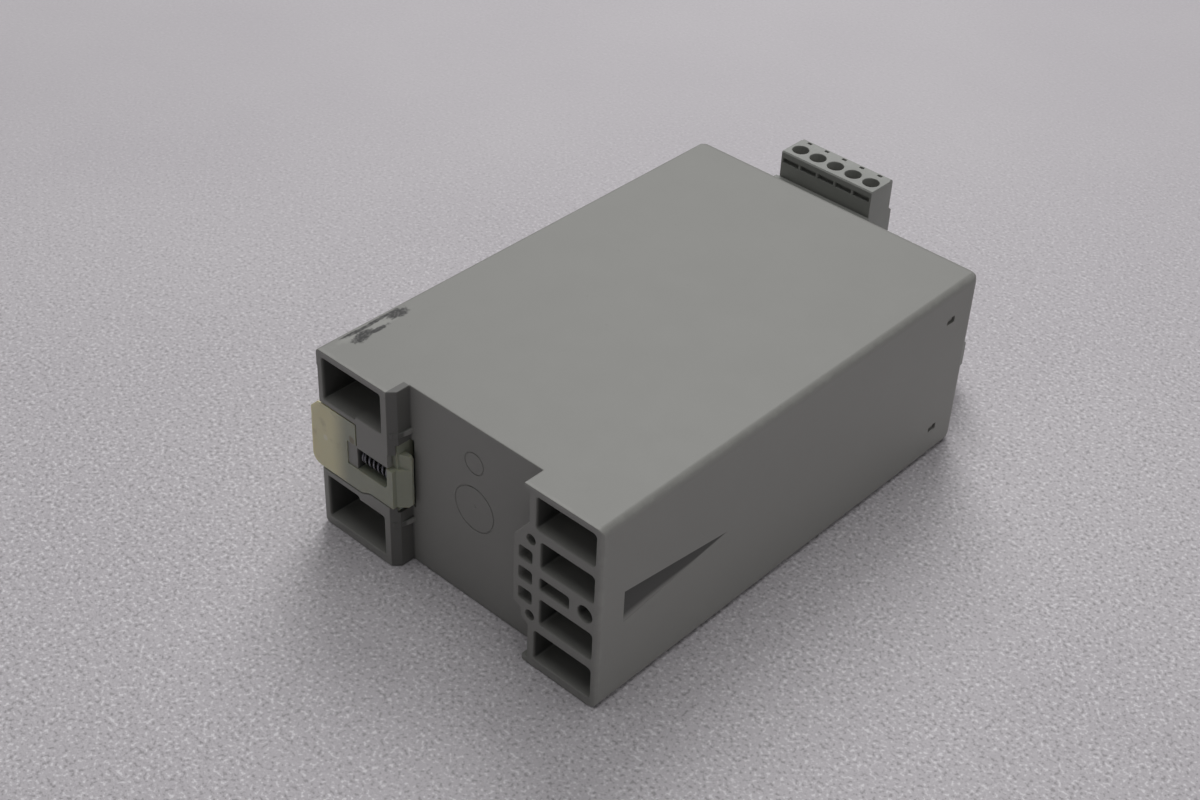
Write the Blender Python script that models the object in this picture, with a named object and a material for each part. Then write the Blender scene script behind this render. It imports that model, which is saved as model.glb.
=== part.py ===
"""A 45 mm wide power supply that snaps onto a 35 mm DIN rail, with its latch, plugs and inner parts.

Frame, in metres: the origin is the middle of the rail seat. +Y points out of the rear, towards the
rail, so the front with the plugs faces -Y. +X is the latch side. Z runs along the rail, and the
module is stored lying on one of its flat sides.
"""

import math

import bmesh
import bpy
from mathutils import Matrix, Vector

# ---- Driving dimensions -------------------------------------------------------------------------
MODULE_WIDTH = 0.045
HALF = MODULE_WIDTH / 2
LATCH_SIDE = 0.0400
FIXED_SIDE = -0.0377
FRONT = -0.1144
LEG = 0.0049
WALL = 0.0017
GAP = 0.0003
PAST = 0.001

# The rail recess: a 35 mm rail flange, 1 mm thick, lies on the seat at Y = 0.
RECESS_LATCH = 0.01795
RECESS_FIXED = -0.0180
FLANGE_ROOM = 0.0011
LEG_CHAMFER = 0.0016

# The legs' moulded cells, which open to the rear.
CELL_FLOOR = -0.0108
CELL_ROUND = 0.0008
CELL_TOP = HALF - 0.0016
CELL_LOW = -0.0204
BULKHEAD = -0.0126
LATCH_STEP = 0.0288
LATCH_CELL = (0.0212, 0.0385)
FIXED_CELL_OUTER = -0.0361
WIDE_CELL = -0.0211
NARROW_CELL = -0.0224

# The hook on the fixed side, with its row of small cells.
SET_BACK = -0.0194
HOOK_TIP = -0.0155
HOOK_FLOOR = 0.0018
HOOK_CELL_PITCH = 0.0052
HOOK_CELL_HEIGHT = 0.0032
HOOK_HOLES = (0.0098, -0.0095)
HOOK_HOLE_RADIUS = 0.0012

# The scooped finger recess in the fixed side.
SCOOP_WIDE = -0.0019
SCOOP_TIP = -0.0319
SCOOP_HALF = 0.0039
SCOOP_DEPTH = 0.0013
SCOOP_LIP = 0.00005

# The latch slider and its channel.
SLIDER_LOW = -0.0077
SLIDER_HIGH = 0.0090
SLIDER_BACK = -0.0013
SLIDER_UNDER_WEB = 0.0034
SLIDER_FACE = LEG - 0.00005
SLIDER_TIP = 0.0160
SLIDER_TAB = 0.0429
SLIDER_NECK = 0.0184
SWEEP_START = 0.0284
SWEEP_LENGTH = 0.0034
SWEEP_RISE = 0.0012
TAB_ROUND = 0.0024
TAB_FRONT = 0.0291
NOSE_LOW = SLIDER_LOW + SWEEP_RISE
NOSE_HIGH = 0.0066
NOSE_ROOT = 0.0196
NOSE_CATCH = FLANGE_ROOM + 0.0001
WEB_EDGE = 0.0034
WINDOW_X = (0.0200, 0.0318)
WINDOW_LOW = -0.0022
POST_X = (0.0291, 0.0315)
SPRING_RADIUS = 0.0020
WIRE_RADIUS = 0.00024
SPRING_TURNS = 6
SPRING_Y = 0.0019

# The pluggable terminals.
DC_POLES = 5
DC_PITCH = 0.00508
DC_X = 0.0113
DC_BASE = 0.0074
AC_POLES = 3
AC_PITCH = 0.00762
AC_X = -0.0155
AC_BASE = -0.0175
BLOCK_REAR = -0.1236
BLOCK_DEPTH = 0.0086
BLOCK_HEIGHT = 0.0150
END_WALLS = 0.0006
MATING_LENGTH = 0.0090
HEADER_HEIGHT = 0.0086
PIN_LEVEL = 0.0043
SCREW_HEAD = 0.0016
SCREW_SHANK = 0.0011
SCREW_TOP = 0.0128
HEADER_REAR = -0.1113
SCREW_Y = -0.1271

# The boards and the front panel.
PANEL_OUTER = -0.1138
PANEL_INNER = -0.1120
FRONT_BOARD = (-0.1110, -0.1094)
BOARD_TOP = -0.0166
BOARD_THICK = 0.0016
SEAT_ON_BOARD = BOARD_TOP + GAP
WINDOW_Y = (-0.1060, -0.1033)
WINDOW_Z = 0.0145
LIGHT_XZ = (0.0320, 0.0120)
TRIM_XZ = (0.0320, 0.0020)

ROUND = 24


# ---- Modelling helpers --------------------------------------------------------------------------
def clear_scene():
    for obj in list(bpy.data.objects):
        bpy.data.objects.remove(obj, do_unlink=True)


def material(name, color, roughness=0.5, metallic=0.0):
    mat = bpy.data.materials.get(name) or bpy.data.materials.new(name)
    mat.use_nodes = True
    shader = mat.node_tree.nodes["Principled BSDF"]
    shader.inputs["Base Color"].default_value = (*color, 1.0)
    shader.inputs["Roughness"].default_value = roughness
    shader.inputs["Metallic"].default_value = metallic
    return mat


def rect(u, v):
    return [(u[0], v[0]), (u[1], v[0]), (u[1], v[1]), (u[0], v[1])]


def arc(u, v, radius, start, end, steps):
    angles = [math.radians(start + (end - start) * i / steps) for i in range(steps + 1)]
    return [(u + radius * math.cos(a), v + radius * math.sin(a)) for a in angles]


def round_rect(u, v, radius, steps=3):
    u0, u1 = u[0] + radius, u[1] - radius
    v0, v1 = v[0] + radius, v[1] - radius
    corners = ((u1, v1, 0), (u0, v1, 90), (u0, v0, 180), (u1, v0, 270))
    return [p for cu, cv, a in corners for p in arc(cu, cv, radius, a, a + 90, steps)]


def circle(u, v, radius, steps=ROUND):
    return arc(u, v, radius, 0, 360 * (steps - 1) / steps, steps - 1)


def about(middle, size):
    return (middle - size / 2, middle + size / 2)


def prism(outline, axis, lo, hi):
    """An outline extruded along one axis: (x, y) along Z, (x, z) along Y, (y, z) along X."""
    place = {
        "Z": lambda p, h: (p[0], p[1], h),
        "Y": lambda p, h: (p[0], h, p[1]),
        "X": lambda p, h: (h, p[0], p[1]),
    }[axis]
    bm = bmesh.new()
    low = [bm.verts.new(place(p, lo)) for p in outline]
    high = [bm.verts.new(place(p, hi)) for p in outline]
    bm.faces.new(low)
    bm.faces.new(high)
    for i in range(len(outline)):
        j = (i + 1) % len(outline)
        bm.faces.new((low[i], low[j], high[j], high[i]))
    bmesh.ops.recalc_face_normals(bm, faces=bm.faces)
    return bm


def box(x, y, z):
    return prism(rect(x, y), "Z", z[0], z[1])


def rod(axis, centre, radius, lo, hi, steps=ROUND):
    return prism(circle(centre[0], centre[1], radius, steps), axis, lo, hi)


def gathered(shapes):
    """Several bmeshes that don't touch, as one."""
    whole = bmesh.new()
    for shape in shapes:
        mesh = bpy.data.meshes.new("gathered")
        shape.to_mesh(mesh)
        shape.free()
        whole.from_mesh(mesh)
        bpy.data.meshes.remove(mesh)
    return whole


def part(name, shape, mat, origin=(0, 0, 0)):
    """A bmesh in world coordinates as an object whose origin is given."""
    bmesh.ops.translate(shape, verts=shape.verts, vec=-Vector(origin))
    mesh = bpy.data.meshes.new(name)
    shape.to_mesh(mesh)
    shape.free()
    mesh.materials.append(mat)
    obj = bpy.data.objects.new(name, mesh)
    obj.location = origin
    bpy.context.scene.collection.objects.link(obj)
    return obj


def baked(obj):
    """Replaces the object's mesh with the one its modifiers make."""
    bpy.context.view_layer.update()
    graph = bpy.context.evaluated_depsgraph_get()
    mesh = bpy.data.meshes.new_from_object(obj.evaluated_get(graph))
    mesh.name = obj.name
    old = obj.data
    obj.modifiers.clear()
    obj.data = mesh
    bpy.data.meshes.remove(old)


def boolean(obj, shapes, operation):
    """One EXACT Boolean with shapes that don't touch each other, given in world coordinates."""
    tool = part("tool", gathered(shapes), obj.data.materials[0])
    modifier = obj.modifiers.new(operation.title(), "BOOLEAN")
    modifier.operation = operation
    modifier.solver = "EXACT"
    modifier.object = tool
    baked(obj)
    old = tool.data
    bpy.data.objects.remove(tool)
    bpy.data.meshes.remove(old)


def cut(obj, *shapes):
    boolean(obj, shapes, "DIFFERENCE")


def add(obj, *shapes):
    boolean(obj, shapes, "UNION")


def shade(obj, degrees=32):
    obj.data.shade_smooth()
    obj.data.set_sharp_from_angle(angle=math.radians(degrees))


def bevel_all(obj, width, segments=2):
    modifier = obj.modifiers.new("Soft edges", "BEVEL")
    modifier.width = width
    modifier.segments = segments
    modifier.limit_method = "ANGLE"
    modifier.angle_limit = math.radians(40)


# ---- Housing ------------------------------------------------------------------------------------
CORNER = 0.0026
LONG_EDGE = 0.0020
REAR_EDGE = 0.0010
LEG_ROOT = RECESS_LATCH + LEG_CHAMFER
RING_WIDTH = 0.0004
RING_DEPTH = 0.0002


def housing_blank():
    """The outer block with the rail recess, its outer edges rounded to different radii."""
    outline = [
        (LATCH_SIDE, FRONT),
        (LATCH_SIDE, LEG),
        (LEG_ROOT, LEG),
        (RECESS_LATCH, LEG - LEG_CHAMFER),
        (RECESS_LATCH, 0),
        (RECESS_FIXED, 0),
        (RECESS_FIXED, LEG),
        (FIXED_SIDE, LEG),
        (FIXED_SIDE, FRONT),
    ]
    shape = prism(outline, "Z", -HALF, HALF)
    weight = shape.edges.layers.float.new("bevel_weight_edge")
    for edge in shape.edges:
        a, b = (v.co for v in edge.verts)
        upright = abs(a.z - b.z) > HALF
        side = a.x == b.x and abs(a.x - 0.001) > 0.037
        front = a.y == b.y and abs(a.y - FRONT) < PAST
        rear_corner = upright and abs(a.x - FIXED_SIDE) < PAST and a.y > 0
        latch_side = side and a.x > 0
        if upright and abs(a.y - FRONT) < PAST:
            edge[weight] = 1.0
        elif rear_corner or (latch_side and not upright):
            edge[weight] = REAR_EDGE / CORNER
        elif not upright and (side or front):
            edge[weight] = LONG_EDGE / CORNER
    obj = part("housing_shell", shape, material("housing_plastic", (0.28, 0.28, 0.26), 0.55))
    modifier = obj.modifiers.new("Moulded radii", "BEVEL")
    modifier.width = CORNER
    modifier.segments = 4
    modifier.limit_method = "WEIGHT"
    baked(obj)
    return obj


def inner_hollow():
    room = (-HALF + WALL, HALF - WALL)
    wide = box((FIXED_SIDE + WALL, LATCH_SIDE - WALL), (FRONT - PAST, BULKHEAD), room)
    seat = box(about(0, 0.0326), (BULKHEAD - PAST, -0.0018), room)
    behind_latch = box((0.0212, 0.0383), (BULKHEAD - PAST, -0.0033), (-0.0078, 0.0088))
    return wide, seat, behind_latch


def latch_leg_cells():
    """Two deep cells, each with a small step where the web over the slider begins."""
    x0, x1 = LATCH_CELL
    upper = [
        (x1, 0.0105),
        (x1, CELL_TOP),
        (x0, CELL_TOP),
        (x0, 0.0113),
        (LATCH_STEP, 0.0113),
        (LATCH_STEP, 0.0105),
    ]
    lower = [
        (x1, CELL_LOW),
        (x1, -0.0094),
        (LATCH_STEP, -0.0094),
        (LATCH_STEP, -0.0102),
        (x0, -0.0102),
        (x0, CELL_LOW),
    ]
    return [prism(outline, "Y", CELL_FLOOR, LEG + PAST) for outline in (upper, lower)]


def slot_edge(offset):
    """The lower edge of the slider's raised face, which sweeps up towards the nose."""
    steps = 6
    points = []
    for i in range(steps + 1):
        t = i / steps
        ease = t * t * (3 - 2 * t)
        points.append((SWEEP_START - SWEEP_LENGTH * t, SLIDER_LOW + SWEEP_RISE * ease + offset))
    return points


def latch_channel():
    across = (SLIDER_LOW - GAP, SLIDER_HIGH + GAP)
    deep = box((RECESS_LATCH - PAST, LATCH_SIDE + PAST), (SLIDER_BACK - GAP, 0.0037), across)
    outline = [
        (LATCH_SIDE + PAST, SLIDER_LOW - GAP),
        (LATCH_SIDE + PAST, SLIDER_HIGH + GAP),
        (TAB_FRONT - GAP, SLIDER_HIGH + GAP),
        (TAB_FRONT - GAP, WEB_EDGE),
        (RECESS_LATCH - PAST, WEB_EDGE),
        (RECESS_LATCH - PAST, NOSE_LOW - GAP),
        *reversed(slot_edge(-GAP)),
    ]
    return deep, prism(outline, "Y", 0.0030, LEG + PAST)


def nose_clearance():
    """Room for the nose's upper corner between the web's edge and the leg's inner wall."""
    across = (RECESS_LATCH - PAST, LEG_ROOT + 0.0001)
    return box(across, (0.0030, LEG + PAST), (0, NOSE_HIGH + GAP))


def fixed_leg_cells():
    rooms = (
        (WIDE_CELL, 0.0131, CELL_TOP),
        (NARROW_CELL, 0.0040, 0.0107),
        (NARROW_CELL, -0.0104, -0.0037),
        (WIDE_CELL, CELL_LOW, -0.0127),
    )
    shapes = []
    for x1, low, high in rooms:
        outline = round_rect((FIXED_CELL_OUTER, x1), (low, high), CELL_ROUND)
        shapes.append(prism(outline, "Y", CELL_FLOOR, LEG + PAST))
    slot = round_rect((-0.0300, -0.0223), (-0.0014, 0.0017), 0.0006)
    shapes.append(prism(slot, "Y", CELL_FLOOR, LEG + PAST))
    shapes.append(rod("Y", (-0.0340, 0.0002), 0.0019, 0.0010, LEG + PAST))
    return shapes


def hook():
    """The fixed hook that grips behind the rail's flange; its lower end bulges round a hole."""
    outline = [
        (SET_BACK - 0.0006, 0.0146),
        (SET_BACK, 0.0138),
        (HOOK_TIP, 0.0086),
        (HOOK_TIP, -0.0080),
        (-0.0175, -0.0090),
        (-0.0178, -0.0110),
        (-0.0190, -0.0121),
        (SET_BACK - 0.0006, -0.0123),
    ]
    return prism(outline, "Y", FLANGE_ROOM, LEG)


def hook_cells():
    cells = []
    for z in (-HOOK_CELL_PITCH, 0, HOOK_CELL_PITCH):
        outline = round_rect((-0.0204, -0.0168), about(z, HOOK_CELL_HEIGHT), 0.0005)
        cells.append(prism(outline, "Y", HOOK_FLOOR, LEG + PAST))
    for z in HOOK_HOLES:
        cells.append(rod("Y", (-0.0200, z), HOOK_HOLE_RADIUS, HOOK_FLOOR, LEG + PAST, 12))
    return cells


def guide_fins():
    """Two fins on the latch leg whose sloping edges centre the rail."""
    outline = [
        (0.0201, 0.0030),
        (0.0197, 0.0046),
        (0.0186, 0.0044),
        (0.0178, 0.0030),
        (0.0173, 0.0012),
        (0.0172, -0.0006),
        (0.0186, -0.0006),
    ]
    return [prism(outline, "Z", *about(z, 0.0013)) for z in (0.0117, -0.0113)]


def finger_wedge():
    """A scooped triangular recess in the fixed side: sharp above, running out flat below."""
    bm = bmesh.new()
    out = FIXED_SIDE - PAST
    steps = 5
    section = [(out, SCOOP_HALF)]
    for i in range(steps + 1):
        t = i / steps
        depth = SCOOP_LIP + SCOOP_DEPTH * (1 - t) ** 1.3
        section.append((FIXED_SIDE + depth, SCOOP_HALF * (1 - 2 * t)))
    section.append((out, -SCOOP_HALF))
    rim = [bm.verts.new((x, SCOOP_WIDE, z)) for x, z in section]
    point = bm.verts.new((FIXED_SIDE + SCOOP_LIP, SCOOP_TIP, 0))
    outer_point = bm.verts.new((out, SCOOP_TIP, 0))
    bm.faces.new(rim)
    bm.faces.new((rim[0], rim[-1], outer_point))
    bm.faces.new((rim[1], rim[0], outer_point, point))
    bm.faces.new((rim[-1], rim[-2], point, outer_point))
    for a, b in zip(rim[1:-2], rim[2:-1]):
        bm.faces.new((b, a, point))
    bmesh.ops.recalc_face_normals(bm, faces=bm.faces)
    return bm


def mould_ring(z, radius, width, depth):
    """A thin ring engraved in the seat."""
    ring = bmesh.new()
    steps = 32
    rows = []
    for r, y in ((radius, -depth), (radius, PAST), (radius + width, PAST), (radius + width, -depth)):
        rows.append([ring.verts.new((u, y, v)) for u, v in circle(0, z, r, steps)])
    for a in range(len(rows)):
        b = (a + 1) % len(rows)
        for i in range(steps):
            j = (i + 1) % steps
            ring.faces.new((rows[a][i], rows[a][j], rows[b][j], rows[b][i]))
    bmesh.ops.recalc_face_normals(ring, faces=ring.faces)
    return ring


def snap_windows():
    windows = []
    for x in (about(FIXED_SIDE, 0.0044), about(LATCH_SIDE, 0.0044)):
        for z in (-WINDOW_Z, WINDOW_Z):
            windows.append(box(x, WINDOW_Y, about(z, 0.0016)))
    return windows


def make_housing():
    obj = housing_blank()
    wide, seat, behind_latch = inner_hollow()
    cut(obj, wide)
    cut(obj, seat, behind_latch)
    set_back = box((SET_BACK, RECESS_FIXED + PAST), (0, LEG + PAST), about(0, 0.0424))
    cut(obj, set_back, *latch_leg_cells())
    add(obj, hook())
    deep, slot = latch_channel()
    cut(obj, deep, *fixed_leg_cells())
    cut(obj, slot, *hook_cells())
    cut(obj, nose_clearance())
    post = box(POST_X, (SLIDER_BACK - GAP - PAST, LEG - GAP), (WINDOW_LOW + GAP, 0.0028))
    add(obj, post, *guide_fins())
    lip = box((LATCH_SIDE - 0.00035, LATCH_SIDE + PAST), (-0.0090, LEG + PAST), (0.0080, 0.0184))
    cut(obj, lip, finger_wedge(), mould_ring(0.0020, 0.0051, RING_WIDTH, RING_DEPTH), *snap_windows())
    cut(obj, mould_ring(0.0134, 0.0023, RING_WIDTH, RING_DEPTH))
    shade(obj)


# ---- Latch --------------------------------------------------------------------------------------
def tab_end():
    """The outer end of the finger tab, from its sloping upper corner round to its lower one."""
    corner = arc(SLIDER_TAB - TAB_ROUND, SLIDER_LOW + TAB_ROUND, TAB_ROUND, 0, -90, 4)
    return [(0.0404, SLIDER_HIGH), (SLIDER_TAB - 0.0003, SLIDER_HIGH - 0.0022), *corner]


def make_latch():
    nylon = material("nylon", (0.50, 0.46, 0.34), 0.45)
    web = WEB_EDGE - GAP
    deep_outline = [*tab_end(), (SLIDER_NECK, SLIDER_LOW), (SLIDER_NECK, SLIDER_HIGH)]
    slider = part("latch_slider", prism(deep_outline, "Y", SLIDER_BACK, SLIDER_UNDER_WEB), nylon)
    face_outline = [
        *tab_end(),
        *slot_edge(0),
        (SLIDER_NECK, NOSE_LOW),
        (SLIDER_NECK, web),
        (TAB_FRONT, web),
        (TAB_FRONT, SLIDER_HIGH),
    ]
    add(slider, prism(face_outline, "Y", SLIDER_BACK + 0.0010, SLIDER_FACE))
    for z, high in (((NOSE_LOW, web), SLIDER_FACE), ((0, NOSE_HIGH), SLIDER_UNDER_WEB)):
        nose = [
            (SLIDER_TIP, NOSE_CATCH),
            (SLIDER_TIP, 0.0017),
            (NOSE_ROOT, high),
            (0.0215, high),
            (0.0215, NOSE_CATCH),
        ]
        add(slider, prism(nose, "Z", *z))
    low_corner = [
        (SLIDER_TIP - PAST, NOSE_LOW - PAST),
        (SLIDER_TIP + 0.0018, NOSE_LOW - PAST),
        (SLIDER_TIP + 0.0006, NOSE_LOW),
        (SLIDER_TIP - PAST, NOSE_LOW + 0.0022),
    ]
    upper_corner = [
        (SLIDER_TIP - PAST, NOSE_HIGH + PAST),
        (SLIDER_TIP - PAST, NOSE_HIGH - 0.0020),
        (SLIDER_TIP + 0.0012, NOSE_HIGH + PAST),
    ]
    cut(slider, *[prism(corner, "Y", -PAST, LEG + PAST) for corner in (low_corner, upper_corner)])
    flange_side = [
        (0.0170, -0.0030),
        (0.0170, NOSE_CATCH),
        (0.0182, NOSE_CATCH),
        (0.0190, -0.0030),
    ]
    cut(slider, prism(flange_side, "Z", -HALF, HALF))
    window = [
        (WINDOW_X[1], WINDOW_LOW),
        (WINDOW_X[1], WEB_EDGE + GAP),
        *arc(WINDOW_X[0] + 0.0012, WEB_EDGE + GAP - 0.0012, 0.0012, 90, 180, 3),
        *arc(WINDOW_X[0] + 0.0012, WINDOW_LOW + 0.0012, 0.0012, 180, 270, 3),
    ]
    cut(slider, prism(window, "Y", SLIDER_BACK - PAST, LEG + PAST))
    shade(slider)


def make_spring():
    steel = material("spring_steel", (0.10, 0.10, 0.11), 0.35, 1.0)
    middle_z = (WINDOW_LOW + WEB_EDGE) / 2
    start, end = WINDOW_X[0] + GAP + WIRE_RADIUS, POST_X[0] - GAP - WIRE_RADIUS
    curve = bpy.data.curves.new("latch_spring", "CURVE")
    curve.dimensions = "3D"
    curve.bevel_depth = WIRE_RADIUS
    curve.bevel_resolution = 1
    curve.use_fill_caps = True
    per_turn = 14
    count = SPRING_TURNS * per_turn + 1
    line = curve.splines.new("POLY")
    line.points.add(count - 1)
    for i in range(count):
        angle = 2 * math.pi * i / per_turn
        x = (end - start) * i / (count - 1)
        y = SPRING_RADIUS * math.cos(angle)
        z = SPRING_RADIUS * math.sin(angle)
        line.points[i].co = (x, y, z, 1)
    curve.materials.append(steel)
    obj = bpy.data.objects.new("latch_spring", curve)
    obj.location = (start, SPRING_Y, middle_z)
    bpy.context.scene.collection.objects.link(obj)


# ---- Pluggable terminals ------------------------------------------------------------------------
def pole_positions(middle, poles, pitch):
    return [middle + (i - (poles - 1) / 2) * pitch for i in range(poles)]


def make_plug(prefix, middle, base, poles, pitch):
    """A screw plug: body, clamp screws and wire cages. Its screws face +Z, its wires enter from -Y."""
    plastic = material("plug_plastic", (0.20, 0.21, 0.19), 0.5)
    centres = pole_positions(middle, poles, pitch)
    width = poles * pitch + END_WALLS
    top = base + BLOCK_HEIGHT
    front = BLOCK_REAR - BLOCK_DEPTH
    profile = [
        (BLOCK_REAR, base),
        (BLOCK_REAR, top - 0.0003),
        (BLOCK_REAR - 0.0003, top),
        (front + 0.0006, top),
        (front, top - 0.0006),
        (front, base + 0.0072),
        (front - 0.0010, base + 0.0064),
        (front - 0.0010, base),
    ]
    block = prism(profile, "X", *about(middle, width))
    body = part(prefix + "_plug_body", block, plastic)
    mating_y = (BLOCK_REAR - PAST, BLOCK_REAR + MATING_LENGTH)
    add(body, box(about(middle, width - 0.0010), mating_y, (base + 0.0010, base + 0.0076)))
    chamber_y = (front + 0.0011, BLOCK_REAR - 0.0010)
    cut(body, *[box(about(x, 0.0042), chamber_y, (base + 0.0009, base + 0.0100)) for x in centres])
    cut(body, *[rod("Z", (x, SCREW_Y), 0.0015, base + 0.0090, base + 0.0112) for x in centres])
    cut(body, *[rod("Z", (x, SCREW_Y), 0.00195, base + 0.0109, top + PAST) for x in centres])
    entry_y = (front - 0.0020, front + 0.0020)
    cut(body, *[box(about(x, 0.0036), entry_y, (base + 0.0020, base + 0.0058)) for x in centres])
    pin_y = (BLOCK_REAR + 0.0018, BLOCK_REAR + MATING_LENGTH + PAST)
    pin_holes = [box(about(x, 0.0016), pin_y, about(base + PIN_LEVEL, 0.0016)) for x in centres]
    notch_y = about(front + 0.0013, 0.0008)
    notch_z = (top - 0.0006, top + PAST)
    notches = [box(about(x + 0.0003, 0.0012), notch_y, notch_z) for x in centres]
    groove_y = (BLOCK_REAR - 0.0012, BLOCK_REAR + PAST)
    groove = box(about(middle, width - 0.0012), groove_y, (top - 0.0029, top - 0.0016))
    cut(body, groove, *pin_holes, *notches)
    rebates = []
    for side in (-1, 1):
        x = sorted((middle + side * (width / 2 - 0.0003), middle + side * (width / 2 + PAST)))
        rebates.append(box(x, (front - 0.0020, front + 0.0013), (base - PAST, top + PAST)))
    cut(body, *rebates)
    shade(body)
    make_clamps(prefix, centres, base)


def make_clamps(prefix, centres, base):
    """A slotted screw for each pole, held in the body, and the cage that it lifts."""
    steel = material("screw_steel", (0.52, 0.52, 0.50), 0.35, 1.0)
    brass = material("cage_metal", (0.60, 0.56, 0.46), 0.35, 1.0)
    top = base + SCREW_TOP
    for number, x in enumerate(centres, 1):
        axis = (x, SCREW_Y, base)
        head = rod("Z", (x, SCREW_Y), SCREW_HEAD, top - 0.0015, top, 20)
        screw = part(f"{prefix}_clamp_screw_{number}", head, steel, axis)
        add(screw, rod("Z", (x, SCREW_Y), SCREW_SHANK, base + 0.0066, top - 0.0010, 12))
        cut(screw, box(about(x, 0.0005), about(SCREW_Y, 0.0050), (top - 0.0007, top + PAST)))
        shade(screw)
        strip = box(about(x, 0.0036), about(SCREW_Y, 0.0046), (base + 0.0012, base + 0.0078))
        cage = part(f"{prefix}_wire_cage_{number}", strip, brass, axis)
        cut(cage, box(about(x, 0.0026), about(SCREW_Y, 0.0066), (base + 0.0020, base + 0.0062)))
        cut(cage, rod("Z", (x, SCREW_Y), 0.0014, base + 0.0050, base + 0.0090, 12))


def make_header(prefix, middle, base, poles, pitch):
    """The shrouded pin header that the plug slides into, with its pins moulded in."""
    plastic = material("header_plastic", (0.16, 0.17, 0.15), 0.5)
    centres = pole_positions(middle, poles, pitch)
    width = poles * pitch + END_WALLS
    mouth = BLOCK_REAR + 0.0004
    back = BLOCK_REAR + MATING_LENGTH + 0.0008
    block = box(about(middle, width + 0.0012), (mouth, HEADER_REAR), (base, base + HEADER_HEIGHT))
    body = part(prefix + "_header", block, plastic)
    cut(body, box(about(middle, width - 0.0004), (mouth - PAST, back), (base + 0.0007, base + 0.0079)))
    pin_y = (BLOCK_REAR + 0.0028, back + 0.0012)
    pins = [box(about(x, 0.0010), pin_y, about(base + PIN_LEVEL, 0.0010)) for x in centres]
    add(body, *pins)
    shade(body)


# ---- Front panel, boards and indicators ---------------------------------------------------------
def make_front_panel():
    plastic = material("panel_plastic", (0.24, 0.24, 0.22), 0.55)
    inside_x = (FIXED_SIDE + WALL + GAP, LATCH_SIDE - WALL - GAP)
    inside_z = (-HALF + WALL + GAP, HALF - WALL - GAP)
    panel = part("front_panel", box(inside_x, (PANEL_OUTER, PANEL_INNER), inside_z), plastic)
    arm_y = (PANEL_INNER - 0.0008, WINDOW_Y[1] + 0.0010)
    arms = []
    catches = []
    for x, inward, catch in (
        (inside_x[0], 0.0012, FIXED_SIDE + 0.0005),
        (inside_x[1], -0.0012, LATCH_SIDE - 0.0005),
    ):
        for z in (-WINDOW_Z, WINDOW_Z):
            arms.append(box(sorted((x, x + inward)), arm_y, about(z, 0.0026)))
            ends = sorted((x + inward / 2, catch))
            catches.append(box(ends, (WINDOW_Y[0] + GAP, WINDOW_Y[1] - GAP), about(z, 0.0010)))
    add(panel, *arms)
    add(panel, *catches)
    through = (PANEL_OUTER - PAST, PANEL_INNER + PAST)
    openings = []
    for middle, base, width in ((DC_X, DC_BASE, DC_POLES * DC_PITCH), (AC_X, AC_BASE, AC_POLES * AC_PITCH)):
        z = (base - GAP, base + HEADER_HEIGHT + GAP)
        openings.append(box(about(middle, width + END_WALLS + 0.0018), through, z))
    holes = [rod("Y", LIGHT_XZ, 0.0018, *through, 16), rod("Y", TRIM_XZ, 0.0020, *through, 16)]
    cut(panel, *openings, *holes)
    shade(panel)


def make_boards():
    laminate = material("circuit_board", (0.03, 0.16, 0.07), 0.4)
    front = part("front_board", box((-0.0338, 0.0361), FRONT_BOARD, (-0.0155, 0.0199)), laminate)
    cut(front, rod("Y", TRIM_XZ, 0.0019, FRONT_BOARD[0] - PAST, FRONT_BOARD[1] + PAST, 16))
    board = box((-0.0354, 0.0377), (-0.1088, -0.0145), (BOARD_TOP - BOARD_THICK, BOARD_TOP))
    part("main_board", board, laminate)
    film = material("insulating_film", (0.75, 0.74, 0.68), 0.5)
    part("insulation_sheet", box((-0.0350, 0.0373), (-0.1080, -0.0150), (-0.0204, -0.0199)), film)
    black = material("black_plastic", (0.02, 0.02, 0.02), 0.45)
    link = box(about(0, 0.0300), (-0.1090, -0.1062), (SEAT_ON_BOARD, SEAT_ON_BOARD + 0.0025))
    part("board_link", link, black)


def make_indicators():
    clear = material("light_pipe_plastic", (0.75, 0.85, 0.75), 0.15)
    shape = rod("Y", LIGHT_XZ, 0.0015, PANEL_OUTER - 0.0003, PANEL_INNER + 0.0001, 16)
    pipe = part("light_pipe", shape, clear)
    shade(pipe)
    green = material("led_plastic", (0.10, 0.50, 0.12), 0.3)
    x, z = LIGHT_XZ
    led_y = (FRONT_BOARD[0] - GAP - 0.0005, FRONT_BOARD[0] - GAP)
    part("status_led", box(about(x, 0.0016), led_y, about(z, 0.0010)), green)
    blue = material("trimmer_plastic", (0.03, 0.10, 0.35), 0.4)
    x, z = TRIM_XZ
    body_y = (FRONT_BOARD[1] + GAP, FRONT_BOARD[1] + 0.0045)
    housing = part("trim_pot_body", box(about(x, 0.0065), body_y, about(z, 0.0065)), blue)
    cut(housing, rod("Y", TRIM_XZ, 0.0018, FRONT_BOARD[1] - PAST, FRONT_BOARD[1] + 0.0020, 16))
    white = material("trimmer_rotor", (0.70, 0.68, 0.60), 0.4)
    rotor_y = (PANEL_OUTER + 0.0006, FRONT_BOARD[1] + 0.0017)
    rotor = part("trim_pot_rotor", rod("Y", TRIM_XZ, 0.0015, *rotor_y, 16), white, (x, rotor_y[0], z))
    cut(rotor, box(about(x, 0.0004), (rotor_y[0] - PAST, rotor_y[0] + 0.0007), about(z, 0.0040)))
    shade(rotor)


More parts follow.
